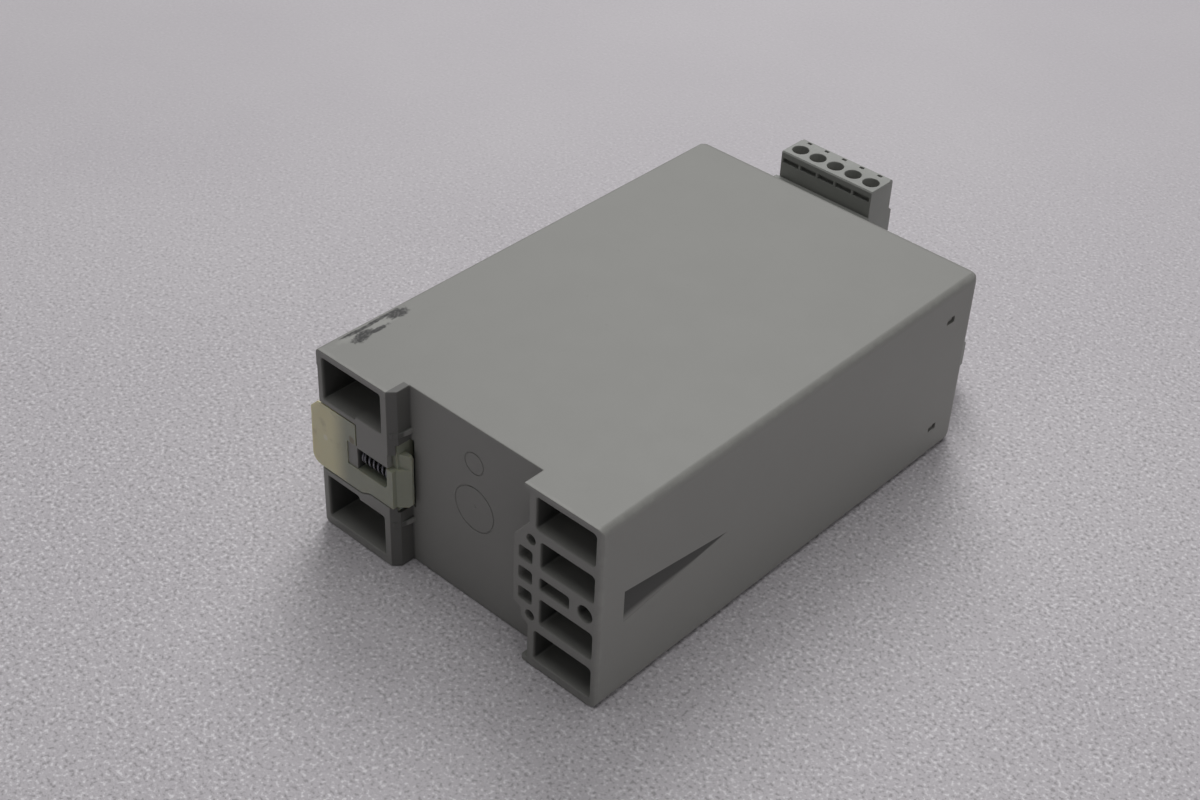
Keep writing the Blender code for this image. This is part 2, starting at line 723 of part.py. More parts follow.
# ---- Parts on the main board --------------------------------------------------------------------
def make_mains_input():
    black = material("black_plastic", (0.02, 0.02, 0.02), 0.45)
    can = rod("Z", (-0.0295, -0.1000), 0.0042, SEAT_ON_BOARD, SEAT_ON_BOARD + 0.0080, 16)
    shade(part("fuse", can, black))
    discs = (
        ("thermistor", (-0.0185, -0.0990), 0.0060, 0.0045, (0.08, 0.09, 0.07)),
        ("varistor", (-0.0290, -0.0880), 0.0060, 0.0040, (0.05, 0.12, 0.40)),
        ("y_capacitor", (-0.0050, -0.0880), 0.0038, 0.0035, (0.10, 0.25, 0.50)),
    )
    for name, (x, y), radius, thick, color in discs:
        coat = material(name + "_coat", color, 0.35)
        centre = (x, SEAT_ON_BOARD + radius)
        shade(part(name, rod("Y", centre, radius, y - thick / 2, y + thick / 2, 20), coat))
    yellow = material("film_capacitor_case", (0.55, 0.40, 0.05), 0.4)
    case_z = (SEAT_ON_BOARD, SEAT_ON_BOARD + 0.0150)
    part("x_capacitor", box(about(-0.0225, 0.0180), about(-0.0765, 0.0085), case_z), yellow)


def ring_sector(centre, inner, outer, z, start, end, steps=10):
    outline = arc(*centre, outer, start, end, steps) + arc(*centre, inner, end, start, steps)
    return prism(outline, "Z", *z)


def make_choke():
    """A common-mode choke: a ferrite ring with a winding round each side."""
    centre = (-0.0225, -0.0585)
    low = SEAT_ON_BOARD + 0.0016
    ferrite = material("ferrite", (0.05, 0.05, 0.05), 0.6)
    core = part("choke_core", rod("Z", centre, 0.0090, low, low + 0.0060), ferrite)
    cut(core, rod("Z", centre, 0.0050, low - PAST, low + 0.0070))
    shade(core)
    copper = material("enamelled_copper", (0.45, 0.18, 0.05), 0.3, 1.0)
    for name, start in (("choke_winding_a", -60), ("choke_winding_b", 120)):
        z = (low - 0.0013, low + 0.0073)
        winding = part(name, ring_sector(centre, 0.0036, 0.0104, z, start, start + 120), copper)
        room = (low - GAP, low + 0.0063)
        cut(winding, ring_sector(centre, 0.0047, 0.0093, room, start - 5, start + 125))
        shade(winding)


def make_power_stage():
    black = material("black_plastic", (0.02, 0.02, 0.02), 0.45)
    packages = (
        ("bridge_rectifier", (0.0060, -0.0990), (0.0150, 0.0036), (0.0030, 0.0190)),
        ("controller_chip", (-0.0030, -0.0770), (0.0050, 0.0040), (0, 0.0015)),
        ("optocoupler", (0.0015, -0.0690), (0.0064, 0.0047), (0, 0.0035)),
    )
    for name, (x, y), (across, along), (low, high) in packages:
        z = (SEAT_ON_BOARD + low, SEAT_ON_BOARD + high)
        part(name, box(about(x, across), about(y, along), z), black)
    sleeve = material("capacitor_sleeve", (0.02, 0.02, 0.03), 0.35)
    cans = (
        ("bulk_capacitor", (-0.0215, -0.0330), 0.0110, 0.0300),
        ("output_capacitor_1", (0.0310, -0.0960), 0.0050, 0.0200),
        ("output_capacitor_2", (0.0310, -0.0840), 0.0050, 0.0200),
    )
    for name, (x, y), radius, height in cans:
        can = part(name, rod("Z", (x, y), radius, SEAT_ON_BOARD, SEAT_ON_BOARD + height), sleeve)
        bevel_all(can, 0.0006)
        shade(can)
    drum = material("ferrite", (0.05, 0.05, 0.05), 0.6)
    choke = rod("Z", (0.0160, -0.0890), 0.0058, SEAT_ON_BOARD, SEAT_ON_BOARD + 0.0130, 20)
    shade(part("output_choke", choke, drum))


def make_heat_sinks():
    """A finned plate with a transistor package screwed flat against it, for each side."""
    metal = material("heat_sink_aluminium", (0.60, 0.60, 0.60), 0.35, 1.0)
    black = material("black_plastic", (0.02, 0.02, 0.02), 0.45)
    sets = (
        ("primary_heat_sink", "power_transistor", -0.0045, -0.0330, 1),
        ("secondary_heat_sink", "output_rectifier", 0.0325, -0.0325, -1),
    )
    for sink_name, device_name, x, y, facing in sets:
        base_z = SEAT_ON_BOARD
        plate_x = sorted((x, x + 0.0016 * facing))
        sink = part(sink_name, box(plate_x, about(y, 0.0260), (base_z, base_z + 0.0260)), metal)
        root = plate_x[0] if facing < 0 else plate_x[1]
        fin_x = sorted((root - 0.0004 * facing, root + 0.0045 * facing))
        fin_z = (base_z + PAST, base_z + 0.0250)
        offsets = (-0.0115, -0.0060, 0.0060, 0.0115)
        add(sink, *[box(fin_x, about(y + offset, 0.0012), fin_z) for offset in offsets])
        face = plate_x[1] if facing < 0 else plate_x[0]
        body_x = sorted((face - GAP * facing, face - 0.0047 * facing))
        part(device_name, box(body_x, about(y, 0.0102), (base_z + 0.0040, base_z + 0.0190)), black)


def make_transformer():
    """Two E-shaped ferrite halves through a flanged bobbin that carries the winding."""
    x, y, z = 0.0140, -0.0600, SEAT_ON_BOARD + 0.0115
    ferrite = material("ferrite", (0.05, 0.05, 0.05), 0.6)
    depth = about(z, 0.0070)
    for name, side in (("transformer_core_front", -1), ("transformer_core_rear", 1)):
        reach = sorted((y + side * GAP / 2, y + side * 0.0130))
        half = part(name, box(about(x, 0.0260), reach, depth), ferrite)
        room_y = sorted((y, y + side * 0.0090))
        cut(half, *[box(about(x + dx, 0.0058), room_y, about(z, 0.0090)) for dx in (-0.0064, 0.0064)])
    plastic = material("bobbin_plastic", (0.04, 0.04, 0.05), 0.5)
    bobbin = part("transformer_bobbin", box(about(x, 0.0090), about(y, 0.0170), about(z, 0.0090)), plastic)
    for side in (-1, 1):
        flange_y = sorted((y + side * 0.0074, y + side * 0.0086))
        add(bobbin, box(about(x, 0.0178), flange_y, about(z, 0.0190)))
    cut(bobbin, box(about(x, 0.0074), about(y, 0.0190), about(z, 0.0076)))
    tape = material("winding_tape", (0.60, 0.48, 0.08), 0.35)
    outline = round_rect(about(x, 0.0172), about(z, 0.0176), 0.0020)
    winding = part("transformer_winding", prism(outline, "Y", *about(y, 0.0140)), tape)
    cut(winding, box(about(x, 0.0096), about(y, 0.0160), about(z, 0.0096)))
    shade(winding)


def main():
    clear_scene()
    make_housing()
    make_latch()
    make_spring()
    for maker in (make_plug, make_header):
        maker("dc", DC_X, DC_BASE, DC_POLES, DC_PITCH)
        maker("ac", AC_X, AC_BASE, AC_POLES, AC_PITCH)
    make_front_panel()
    make_boards()
    make_indicators()
    make_mains_input()
    make_choke()
    make_power_stage()
    make_heat_sinks()
    make_transformer()


main()
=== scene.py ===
"""The looks of a 45 mm wide power supply for a 35 mm DIN rail.

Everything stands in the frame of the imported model, in metres: the origin is the middle of the rail
seat, +Y is the rear, +X the latch side, and the module lies on its -Z side. The visible pieces are
modelled again here with soft edges and fine detail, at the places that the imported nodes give.
"""

import math

import bmesh
import bpy
from mathutils import Matrix, Quaternion, Vector


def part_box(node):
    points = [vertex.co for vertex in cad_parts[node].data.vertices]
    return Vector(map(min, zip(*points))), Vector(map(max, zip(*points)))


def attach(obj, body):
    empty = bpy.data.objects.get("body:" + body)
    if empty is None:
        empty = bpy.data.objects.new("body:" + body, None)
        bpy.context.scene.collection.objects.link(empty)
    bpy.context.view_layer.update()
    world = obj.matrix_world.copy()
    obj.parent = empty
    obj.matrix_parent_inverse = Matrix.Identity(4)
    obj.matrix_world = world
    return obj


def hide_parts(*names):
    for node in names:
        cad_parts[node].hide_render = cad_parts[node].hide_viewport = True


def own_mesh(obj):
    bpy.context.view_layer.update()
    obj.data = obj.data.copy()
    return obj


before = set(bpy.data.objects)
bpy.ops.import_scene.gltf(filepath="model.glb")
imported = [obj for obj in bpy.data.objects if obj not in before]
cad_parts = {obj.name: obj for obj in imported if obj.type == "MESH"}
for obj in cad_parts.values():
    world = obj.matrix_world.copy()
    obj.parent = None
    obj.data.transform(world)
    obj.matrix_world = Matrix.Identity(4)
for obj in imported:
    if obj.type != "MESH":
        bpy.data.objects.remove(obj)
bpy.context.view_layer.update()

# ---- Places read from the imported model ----
CASE_LOW, CASE_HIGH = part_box("housing_shell")
FIXED_SIDE, FRONT = CASE_LOW.x, CASE_LOW.y
LATCH_SIDE, LEG, HALF = CASE_HIGH
SLIDER_MIN, SLIDER_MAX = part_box("latch_slider")
SPRING_MIN, SPRING_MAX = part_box("latch_spring")

# ---- Housing dimensions ----
WALL = 0.0017
GAP = 0.0003
PAST = 0.001
RECESS_LATCH = 0.01795
RECESS_FIXED = -0.0180
LEG_CHAMFER = 0.0016
FLANGE_ROOM = 0.0011
CELL_FLOOR = -0.0108
CELL_TOP = HALF - 0.0016
CELL_LOW = -0.0204
CELL_ROUND = 0.0008
BULKHEAD = -0.0126
CORNER = 0.0026
LONG_EDGE = 0.0020
REAR_EDGE = 0.0010
RIM = 0.00025
SET_BACK = -0.0194
WEB_EDGE = 0.0034
TAB_FRONT = 0.0291
SWEEP_START = 0.0284
SWEEP_LENGTH = 0.0034
SWEEP_RISE = 0.0012
NOSE_LOW = SLIDER_MIN.z + SWEEP_RISE
NOSE_HIGH = 0.0066
UNDER_WEB = 0.0034
NECK = 0.0184
TAB_ROUND = 0.0024
TAB_SLOPE = (0.0404, 0.0003, 0.0022)
WINDOW_X = (0.0200, 0.0318)
WINDOW_Z = (-0.0022, WEB_EDGE + GAP)
POST_X = (0.0290, 0.03177)
POST_Z = (-0.00217, 0.00365)
SCOOP_WIDE = -0.0019
SCOOP_TIP = -0.0319
SCOOP_HALF = 0.0039
SCOOP_DEPTH = 0.0013
LATCH_CELL = (0.0212, 0.0385)
LATCH_STEP = 0.0288
FIXED_CELL_OUTER = -0.0361
WIDE_CELL = -0.0211
NARROW_CELL = -0.0224
HOOK_TIP = -0.0155
HOOK_FLOOR = 0.0018
HOOK_CELLS = (-0.0052, 0, 0.0052)
HOOK_HOLES = (0.0098, -0.0095)
FINS = (0.0117, -0.0113)
LIP_DEPTH = 0.00035
RING_WIDTH = 0.0004
RING_DEPTH = 0.0002
CATCH_Z = (-0.0145, 0.0145)

CIRCLE_STEPS = 40


# ---- Modelling helpers ----
def rect(u, v):
    return [(u[0], v[0]), (u[1], v[0]), (u[1], v[1]), (u[0], v[1])]


def about(middle, size):
    return (middle - size / 2, middle + size / 2)


def arc(u, v, radius, start, end, steps):
    angles = [math.radians(start + (end - start) * i / steps) for i in range(steps + 1)]
    return [(u + radius * math.cos(a), v + radius * math.sin(a)) for a in angles]


def middle_of(node):
    low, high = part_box(node)
    return (low + high) / 2


def circle(u, v, radius, steps=CIRCLE_STEPS):
    return arc(u, v, radius, 0, 360 * (steps - 1) / steps, steps - 1)


def round_rect(u, v, radius, steps=5):
    u0, u1 = u[0] + radius, u[1] - radius
    v0, v1 = v[0] + radius, v[1] - radius
    corners = ((u1, v1, 0), (u0, v1, 90), (u0, v0, 180), (u1, v0, 270))
    return [p for cu, cv, a in corners for p in arc(cu, cv, radius, a, a + 90, steps)]


def anticlockwise(outline):
    doubled = sum(
        a[0] * b[1] - b[0] * a[1] for a, b in zip(outline, outline[1:] + outline[:1])
    )
    return list(outline) if doubled > 0 else list(reversed(outline))


def grown(outline, distance):
    """An anticlockwise outline with each side moved outwards."""
    if not distance:
        return list(outline)
    moved = []
    for i, here in enumerate(outline):
        before, after = outline[i - 1], outline[(i + 1) % len(outline)]
        a = Vector((here[0] - before[0], here[1] - before[1])).normalized()
        b = Vector((after[0] - here[0], after[1] - here[1])).normalized()
        reach = distance / max(0.2, 1 + a.dot(b))
        moved.append((here[0] + reach * (a.y + b.y), here[1] - reach * (a.x + b.x)))
    return moved


def skin(bm, low, high):
    """Faces between two closed rows of points."""
    for i in range(len(low)):
        j = (i + 1) % len(low)
        bm.faces.new((low[i], low[j], high[j], high[i]))


def profiled(outline, axis, profile):
    """A solid along an axis whose outline grows or shrinks: profile is a list of (height, growth)."""
    place = {
        "Z": lambda p, h: (p[0], p[1], h),
        "Y": lambda p, h: (p[0], h, p[1]),
        "X": lambda p, h: (h, p[0], p[1]),
    }[axis]
    outline = anticlockwise(outline)
    rising = profile[-1][0] > profile[0][0]
    if rising == (axis == "Y"):
        profile = list(reversed(profile))
    bm = bmesh.new()
    rows = [
        [bm.verts.new(place(p, height)) for p in grown(outline, growth)]
        for height, growth in profile
    ]
    bm.faces.new(list(reversed(rows[0])))
    bm.faces.new(rows[-1])
    for low, high in zip(rows, rows[1:]):
        skin(bm, low, high)
    return bm


def prism(outline, axis, lo, hi):
    return profiled(outline, axis, [(lo, 0), (hi, 0)])


def box(x, y, z):
    return prism(rect(x, y), "Z", *z)


def rod(axis, centre, radius, lo, hi, steps=CIRCLE_STEPS):
    return prism(circle(*centre, radius, steps), axis, lo, hi)


def quarter(height, radius, growth, steps=3):
    """Profile points of a convex rim that ends at the given height, rounded outwards or inwards."""
    points = []
    for i in range(steps + 1):
        angle = math.radians(90 * i / steps)
        points.append((height - radius * (1 - math.sin(angle)), growth * (1 - math.cos(angle))))
    return points


def pocket(outline, axis, floor, mouth, rim=RIM, fillet=0.0004):
    """A cutter for a moulded pocket with a small fillet at its floor and a rounded mouth."""
    way = 1 if mouth > floor else -1
    low = [(floor, -fillet), (floor + way * 0.3 * fillet, -0.3 * fillet), (floor + way * fillet, 0)]
    height = abs(mouth - floor)
    high = [(floor + way * h, g) for h, g in quarter(height, rim, rim)]
    return profiled(outline, axis, [*low, *high, (mouth + way * PAST, rim)])


def boss(outline, axis, root, top, rim=RIM):
    """A raised shape whose top edge is rounded."""
    way = 1 if top > root else -1
    high = [(root + way * h, -g) for h, g in quarter(abs(top - root), rim, rim)]
    return profiled(outline, axis, [(root, 0), *high])


def turned(profile, axis, centre, steps=CIRCLE_STEPS):
    """A closed turned solid: profile is a list of (height, radius) along the axis."""
    return profiled(circle(*centre, profile[0][1], steps), axis, [(h, r - profile[0][1]) for h, r in profile])


def placed(name, data):
    obj = bpy.data.objects.new(name, data)
    bpy.context.scene.collection.objects.link(obj)
    return obj


def piece(name, shape, mat):
    mesh = bpy.data.meshes.new(name)
    shape.to_mesh(mesh)
    shape.free()
    mesh.materials.append(mat)
    return placed(name, mesh)


def gathered(shapes):
    whole = bmesh.new()
    for shape in shapes:
        mesh = bpy.data.meshes.new("gathered")
        shape.to_mesh(mesh)
        shape.free()
        whole.from_mesh(mesh)
        bpy.data.meshes.remove(mesh)
    return whole


def baked(obj):
    """Replaces the object's mesh with the one that its modifiers make."""
    bpy.context.view_layer.update()
    graph = bpy.context.evaluated_depsgraph_get()
    mesh = bpy.data.meshes.new_from_object(obj.evaluated_get(graph))
    old = obj.data
    obj.modifiers.clear()
    obj.data = mesh
    bpy.data.meshes.remove(old)
    mesh.name = obj.name


def boolean(obj, shapes, operation):
    tool = piece("tool", gathered(shapes), obj.data.materials[0])
    modifier = obj.modifiers.new("Boolean", "BOOLEAN")
    modifier.operation = operation
    modifier.solver = "EXACT"
    modifier.object = tool
    baked(obj)
    old = tool.data
    bpy.data.objects.remove(tool)
    bpy.data.meshes.remove(old)


def cut(obj, *shapes):
    boolean(obj, shapes, "DIFFERENCE")


def add(obj, *shapes):
    boolean(obj, shapes, "UNION")


def edge_bevel(obj, width, segments=2, degrees=38):
    modifier = obj.modifiers.new("Soft edges", "BEVEL")
    modifier.width = width
    modifier.segments = segments
    modifier.limit_method = "ANGLE"
    modifier.angle_limit = math.radians(degrees)


def rounded(obj, *args):
    edge_bevel(obj, *args)
    baked(obj)


def tidied(obj):
    """Joins points that fall together and dissolves flat splits, so that bevels run cleanly."""
    bm = bmesh.new()
    bm.from_mesh(obj.data)
    bmesh.ops.remove_doubles(bm, verts=bm.verts, dist=2e-6)
    bmesh.ops.dissolve_limit(bm, angle_limit=math.radians(0.6), verts=bm.verts, edges=bm.edges)
    bm.to_mesh(obj.data)
    bm.free()


def smoothed(obj, degrees=34):
    """Smooth shading that keeps flat faces flat and sharp edges sharp."""
    obj.data.shade_smooth()
    obj.data.set_sharp_from_angle(angle=math.radians(degrees))
    modifier = obj.modifiers.new("Flat faces stay flat", "WEIGHTED_NORMAL")
    modifier.mode = "FACE_AREA"
    modifier.weight = 90
    modifier.keep_sharp = True
    baked(obj)


def stands_for(obj, body, slot, *nodes):
    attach(obj, body)
    if nodes:
        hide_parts(*nodes)


# ---- Material helpers ----
class Look:
    """A material's node tree, with short calls for the nodes that are used here."""

    def __init__(self, name, roughness=0.5, metallic=0.0):
        self.material = bpy.data.materials.new(name)
        self.material.use_nodes = True
        self.tree = self.material.node_tree
        self.shader = self.tree.nodes["Principled BSDF"]
        self.set(Roughness=roughness, Metallic=metallic)
        coordinates = self.node("ShaderNodeTexCoord").outputs
        self.place = coordinates["Object"]
        self.upright = coordinates["Normal"]

    def node(self, kind, inputs=None, **settings):
        made = self.tree.nodes.new(kind)
        for name, value in settings.items():
            setattr(made, name, value)
        for name, value in (inputs or {}).items():
            if isinstance(value, bpy.types.NodeSocket):
                self.tree.links.new(value, made.inputs[name])
            else:
                made.inputs[name].default_value = value
        return made

    def set(self, **inputs):
        for name, value in inputs.items():
            socket = self.shader.inputs[name.replace("_", " ")]
            if isinstance(value, bpy.types.NodeSocket):
                self.tree.links.new(value, socket)
            else:
                socket.default_value = value

    def noise(self, scale, detail=3.0, stretch=None, distortion=0.0, roughness=0.5):
        place = self.place if stretch is None else self.scaled(stretch)
        inputs = {"Vector": place, "Scale": scale, "Detail": detail, "Roughness": roughness,
                  "Distortion": distortion}
        return self.node("ShaderNodeTexNoise", inputs).outputs["Fac"]

    def scaled(self, stretch):
        return self.node("ShaderNodeMapping", {"Vector": self.place, "Scale": stretch}).outputs[0]

    def steps(self, value, low, high, out_low=0.0, out_high=1.0):
        inputs = {"Value": value, "From Min": low, "From Max": high, "To Min": out_low, "To Max": out_high}
        return self.node("ShaderNodeMapRange", inputs, interpolation_type="SMOOTHSTEP").outputs[0]

    def math(self, operation, a, b=0.0, clamp=False):
        made = self.node("ShaderNodeMath", operation=operation, use_clamp=clamp)
        for socket, value in zip(made.inputs, (a, b)):
            if isinstance(value, bpy.types.NodeSocket):
                self.tree.links.new(value, socket)
            else:
                socket.default_value = value
        return made.outputs[0]

    def mix(self, factor, a, b):
        made = self.node("ShaderNodeMix", data_type="RGBA")
        for name, value in ((0, factor), (6, a), (7, b)):
            if isinstance(value, bpy.types.NodeSocket):
                self.tree.links.new(value, made.inputs[name])
            elif name == 0:
                made.inputs[name].default_value = value
            else:
                made.inputs[name].default_value = (*value, 1.0)
        return made.outputs[2]

    def product(self, *values):
        total = values[0]
        for value in values[1:]:
            total = self.math("MULTIPLY", total, value)
        return total

    def bump(self, height, distance, strength=1.0, normal=None):
        inputs = {"Height": height, "Distance": distance, "Strength": strength}
        if normal is not None:
            inputs["Normal"] = normal
        return self.node("ShaderNodeBump", inputs).outputs[0]

    def between(self, value, low, high, soft):
        """1 where a value lies between two limits, falling to 0 a short way outside them."""
        rise = self.steps(value, low - soft, low)
        fall = self.steps(value, high, high + soft, 1.0, 0.0)
        return self.product(rise, fall)

    def axes(self):
        return self.node("ShaderNodeSeparateXYZ", {"Vector": self.place}).outputs

    def blot(self, centre, size, turn=0.0, ragged=0.0, scale=900.0):
        """A soft-edged patch, 1 in its middle and 0 outside, with a ragged edge."""
        moved = self.node("ShaderNodeVectorMath", {0: self.place, 1: Vector(centre)}, operation="SUBTRACT")
        turned_place = self.node(
            "ShaderNodeVectorRotate",
            {"Vector": moved.outputs[0], "Angle": math.radians(-turn)},
            rotation_type="Z_AXIS",
        )
        shrunk = self.node(
            "ShaderNodeVectorMath", {0: turned_place.outputs[0], 1: Vector(size)}, operation="DIVIDE"
        )
        measured = self.node("ShaderNodeVectorMath", {0: shrunk.outputs[0]}, operation="LENGTH")
        length = measured.outputs["Value"]
        rough = self.math("MULTIPLY", self.math("SUBTRACT", self.noise(scale, 4.0), 0.5), ragged)
        return self.steps(self.math("ADD", length, rough), 0.55, 1.0, 1.0, 0.0)


def shade_of(color, factor):
    return tuple(c * factor for c in color)


def edge_distance(look, low, high):
    """How far a point on a box's surface is from the box's nearest edge."""
    gaps = []
    for axis, (a, b) in zip(look.axes(), zip(low, high)):
        from_middle = look.math("ABSOLUTE", look.math("SUBTRACT", axis, (a + b) / 2))
        gaps.append(look.math("SUBTRACT", (b - a) / 2, from_middle))
    least = look.math("MINIMUM", look.math("MINIMUM", gaps[0], gaps[1]), gaps[2])
    most = look.math("MAXIMUM", look.math("MAXIMUM", gaps[0], gaps[1]), gaps[2])
    total = look.math("ADD", look.math("ADD", gaps[0], gaps[1]), gaps[2])
    return look.math("SUBTRACT", look.math("SUBTRACT", total, least), most)


def moulded(name, color, roughness=0.5, grain=0.00002, mottle=0.06, grain_scale=5200.0, patchy=0.05):
    """Moulded plastic: slight cloudiness, a spark-eroded grain and uneven gloss."""
    look = Look(name, roughness)
    cloud = look.noise(70.0, 4.0)
    fine = look.noise(900.0, 3.0)
    tone = look.mix(look.steps(cloud, 0.3, 0.7), shade_of(color, 1 - mottle), shade_of(color, 1 + mottle))
    tone = look.mix(look.steps(fine, 0.35, 0.75, 0.0, 0.35), tone, shade_of(color, 1 - 2 * mottle))
    look.set(Base_Color=tone)
    gloss = look.steps(look.noise(160.0, 3.0), 0.3, 0.7, roughness - patchy, roughness + patchy)
    look.set(Roughness=gloss)
    look.set(Normal=look.bump(look.noise(grain_scale, 2.0), grain))
    return look


def metal(name, color, roughness=0.35, stretch=(1.0, 1.0, 12.0), scale=600.0):
    """Plated or drawn metal: fine scratches along one direction and slight tarnish."""
    look = Look(name, roughness, 1.0)
    scratch = look.noise(scale, 5.0, stretch)
    tarnish = look.noise(240.0, 4.0)
    tone = look.mix(look.steps(tarnish, 0.4, 0.75), color, shade_of(color, 0.72))
    look.set(Base_Color=tone)
    look.set(Roughness=look.steps(scratch, 0.3, 0.7, roughness - 0.1, roughness + 0.15))
    look.set(Normal=look.bump(scratch, 0.00001, 0.6))
    return look


# ---- Materials ----
CASE_GREY = (0.300, 0.297, 0.278)
PLUG_GREY = (0.330, 0.335, 0.313)
DIRT = (0.018, 0.017, 0.016)
PALE_WEAR = (0.42, 0.415, 0.39)
SCUFF_TOP = HALF


def case_look():
    """Grey ABS with a fine grain, pale worn edges, smudges and the scuff marks by the latch."""
    look = moulded("case_plastic", CASE_GREY, 0.52, grain=0.000012, mottle=0.008, patchy=0.008)
    tone = look.shader.inputs["Base Color"].links[0].from_socket
    ragged = look.product(look.math("SUBTRACT", look.noise(420.0, 5.0), 0.5), 0.0022)
    edge = look.math("ADD", edge_distance(look, CASE_LOW, CASE_HIGH), ragged)
    worn = look.steps(edge, 0.0001, 0.0011, 0.34, 0.0)
    tone = look.mix(worn, tone, PALE_WEAR)
    smudge = look.steps(look.noise(40.0, 6.0, (1.0, 0.3, 1.0), 1.2), 0.55, 0.85, 0.0, 0.035)
    tone = look.mix(smudge, tone, shade_of(CASE_GREY, 0.78))
    specks = look.steps(look.noise(1500.0, 2.0), 0.745, 0.80, 0.0, 0.45)
    tone = look.mix(specks, tone, shade_of(CASE_GREY, 0.5))
    tone = look.mix(pale_scrapes(look), tone, PALE_WEAR)
    tone = look.mix(scuffs(look), tone, DIRT)
    tone = look.mix(recess_shade(look), tone, shade_of(CASE_GREY, 0.12))
    look.set(Base_Color=tone)
    return look.material


def recess_shade(look):
    """Painted darkening of the cells, the wall beside the latch and the finger scoop.

    Light alone leaves these recesses too pale, so part of their darkness is in the base colour.
    """
    x, y, z = look.axes()
    inset, soft = 0.0009, 0.0004
    inside = look.product(look.between(x, FIXED_SIDE + inset, LATCH_SIDE - inset, soft),
                          look.between(z, -HALF + inset, HALF - inset, soft))
    in_leg = look.math("SUBTRACT", inside, look.between(x, -0.0196, 0.0200, 0.0003), clamp=True)
    facing = look.node("ShaderNodeSeparateXYZ", {"Vector": look.upright}).outputs
    sideways = look.steps(look.math("ABSOLUTE", facing[0]), 0.5, 0.9)
    depth = look.product(look.steps(y, CELL_FLOOR, 0.0044, 0.55, 0.0),
                         look.steps(facing[2], 0.3, 0.9, 1.0, 0.0))
    end_walls = look.product(sideways, look.steps(y, 0.0038, 0.0048, 0.80, 0.0))
    reach = look.product(in_leg, look.between(y, CELL_FLOOR - 0.0002, LEG + PAST, 0.0001))
    cells = look.product(reach, look.math("MAXIMUM", depth, end_walls))
    wall = look.product(look.between(x, RECESS_LATCH - 0.0003, 0.0194, 0.0002),
                        look.between(y, 0.0001, 0.0048, 0.0002))
    most = look.math("MAXIMUM", cells, look.product(wall, 0.60))
    return look.math("MAXIMUM", most, scoop_shade(look, x, y, z))


def scoop_shade(look, x, y, z):
    """Darkest along the scoop's sharp upper edge, clearing towards its shallow lower edge."""
    along = look.steps(y, SCOOP_TIP, SCOOP_WIDE, 0.03, 1.0)
    local_depth = look.product(along, SCOOP_DEPTH)
    depth = look.math("DIVIDE", look.math("SUBTRACT", x, FIXED_SIDE), local_depth)
    shade = look.steps(depth, 0.02, 0.22, 0.0, 0.87)
    place = look.product(look.between(y, SCOOP_TIP, SCOOP_WIDE + 0.0001, 0.0001),
                         look.between(z, -SCOOP_HALF, SCOOP_HALF, 0.0002))
    near_side = look.between(x, FIXED_SIDE + 0.00008, FIXED_SIDE + WALL, 0.00005)
    return look.product(place, near_side, shade)


def pale_scrapes(look):
    """Where the scuff rubbed the surface pale, between and around its dark marks."""
    patch = look.blot((0.0374, -0.0080, SCUFF_TOP), (0.0017, 0.0110, 0.003), -2.0, 0.6)
    return look.product(patch, 0.55)


def scuffs(look):
    """Two smeared dark patches joined by thin streaks, broken up as rubbed-on dirt is."""
    marks = (
        ((0.0364, -0.0044), (0.0016, 0.0036), 10.0, 1.1),
        ((0.0374, -0.0146), (0.0016, 0.0034), -4.0, 1.0),
        ((0.0384, -0.0090), (0.00060, 0.0088), 2.0, 1.0),
        ((0.0360, -0.0078), (0.00075, 0.0040), -3.0, 1.3),
        ((0.0386, -0.0030), (0.00040, 0.0030), 0.0, 0.9),
    )
    total = None
    for (x, y), (across, along), turn, ragged in marks:
        mark = look.blot((x, y, SCUFF_TOP), (across, along, 0.0030), turn, ragged, 1400.0)
        total = mark if total is None else look.math("MAXIMUM", total, mark)
    broken = look.steps(look.noise(2600.0, 4.0, (1.0, 0.6, 1.0)), 0.35, 0.52, 0.72, 1.0)
    return look.product(total, broken)


def nylon_look():
    """Unfilled nylon: waxy and slightly see-through, coloured darker on its arms than on its tab as painted
    shade and painted light.
    """
    look = moulded("latch_nylon", (0.375, 0.39, 0.307), 0.36, grain=0.000015, mottle=0.05, grain_scale=1600.0)
    look.set(Subsurface_Weight=0.35, Subsurface_Radius=(1.0, 0.75, 0.45), Subsurface_Scale=0.0015)
    tone = look.shader.inputs["Base Color"].links[0].from_socket
    x = look.axes()[0]
    # Painted light: the tab's outer end is coloured paler, and the arms and nose keep a darker base colour as
    # painted shade.
    tone = look.mix(look.steps(x, 0.0310, 0.0372), tone, (0.84, 0.79, 0.52))
    stain = look.steps(look.noise(300.0, 4.0), 0.58, 0.78, 0.0, 0.25)
    tone = look.mix(stain, tone, (0.30, 0.25, 0.15))
    scorch = look.blot((0.0303, LEG, 0.0046), (0.0010, 0.0010, 0.0011), 0.0, 0.7)
    tone = look.mix(look.product(scorch, 0.6), tone, (0.16, 0.11, 0.05))
    # A small pale spot on the tab's rear face, near its outer end.
    pale_spot = look.blot((0.0385, LEG, 0.0006), (0.0008, 0.0008, 0.0009), 0.0, 0.3)
    look.set(Base_Color=look.mix(look.product(pale_spot, 0.5), tone, (0.95, 0.93, 0.80)))
    return look.material


def spring_look():
    return metal("spring_wire", (0.23, 0.23, 0.25), 0.28, (1.0, 1.0, 1.0), 2600.0).material


def board_look():
    """Green laminate with solder mask over copper tracks."""
    look = Look("solder_mask", 0.34)
    tracks = look.node("ShaderNodeTexBrick", {"Vector": look.place, "Scale": 160.0, "Mortar Size": 0.06,
                                              "Color1": (0, 0, 0, 1), "Color2": (0, 0, 0, 1),
                                              "Mortar": (1, 1, 1, 1)})
    tone = look.mix(tracks.outputs["Color"], (0.012, 0.085, 0.030), (0.030, 0.170, 0.060))
    look.set(Base_Color=look.mix(look.steps(look.noise(500.0), 0.4, 0.7, 0.0, 0.3), tone, (0.01, 0.06, 0.02)))
    look.set(Normal=look.bump(tracks.outputs["Color"], 0.00003))
    return look.material


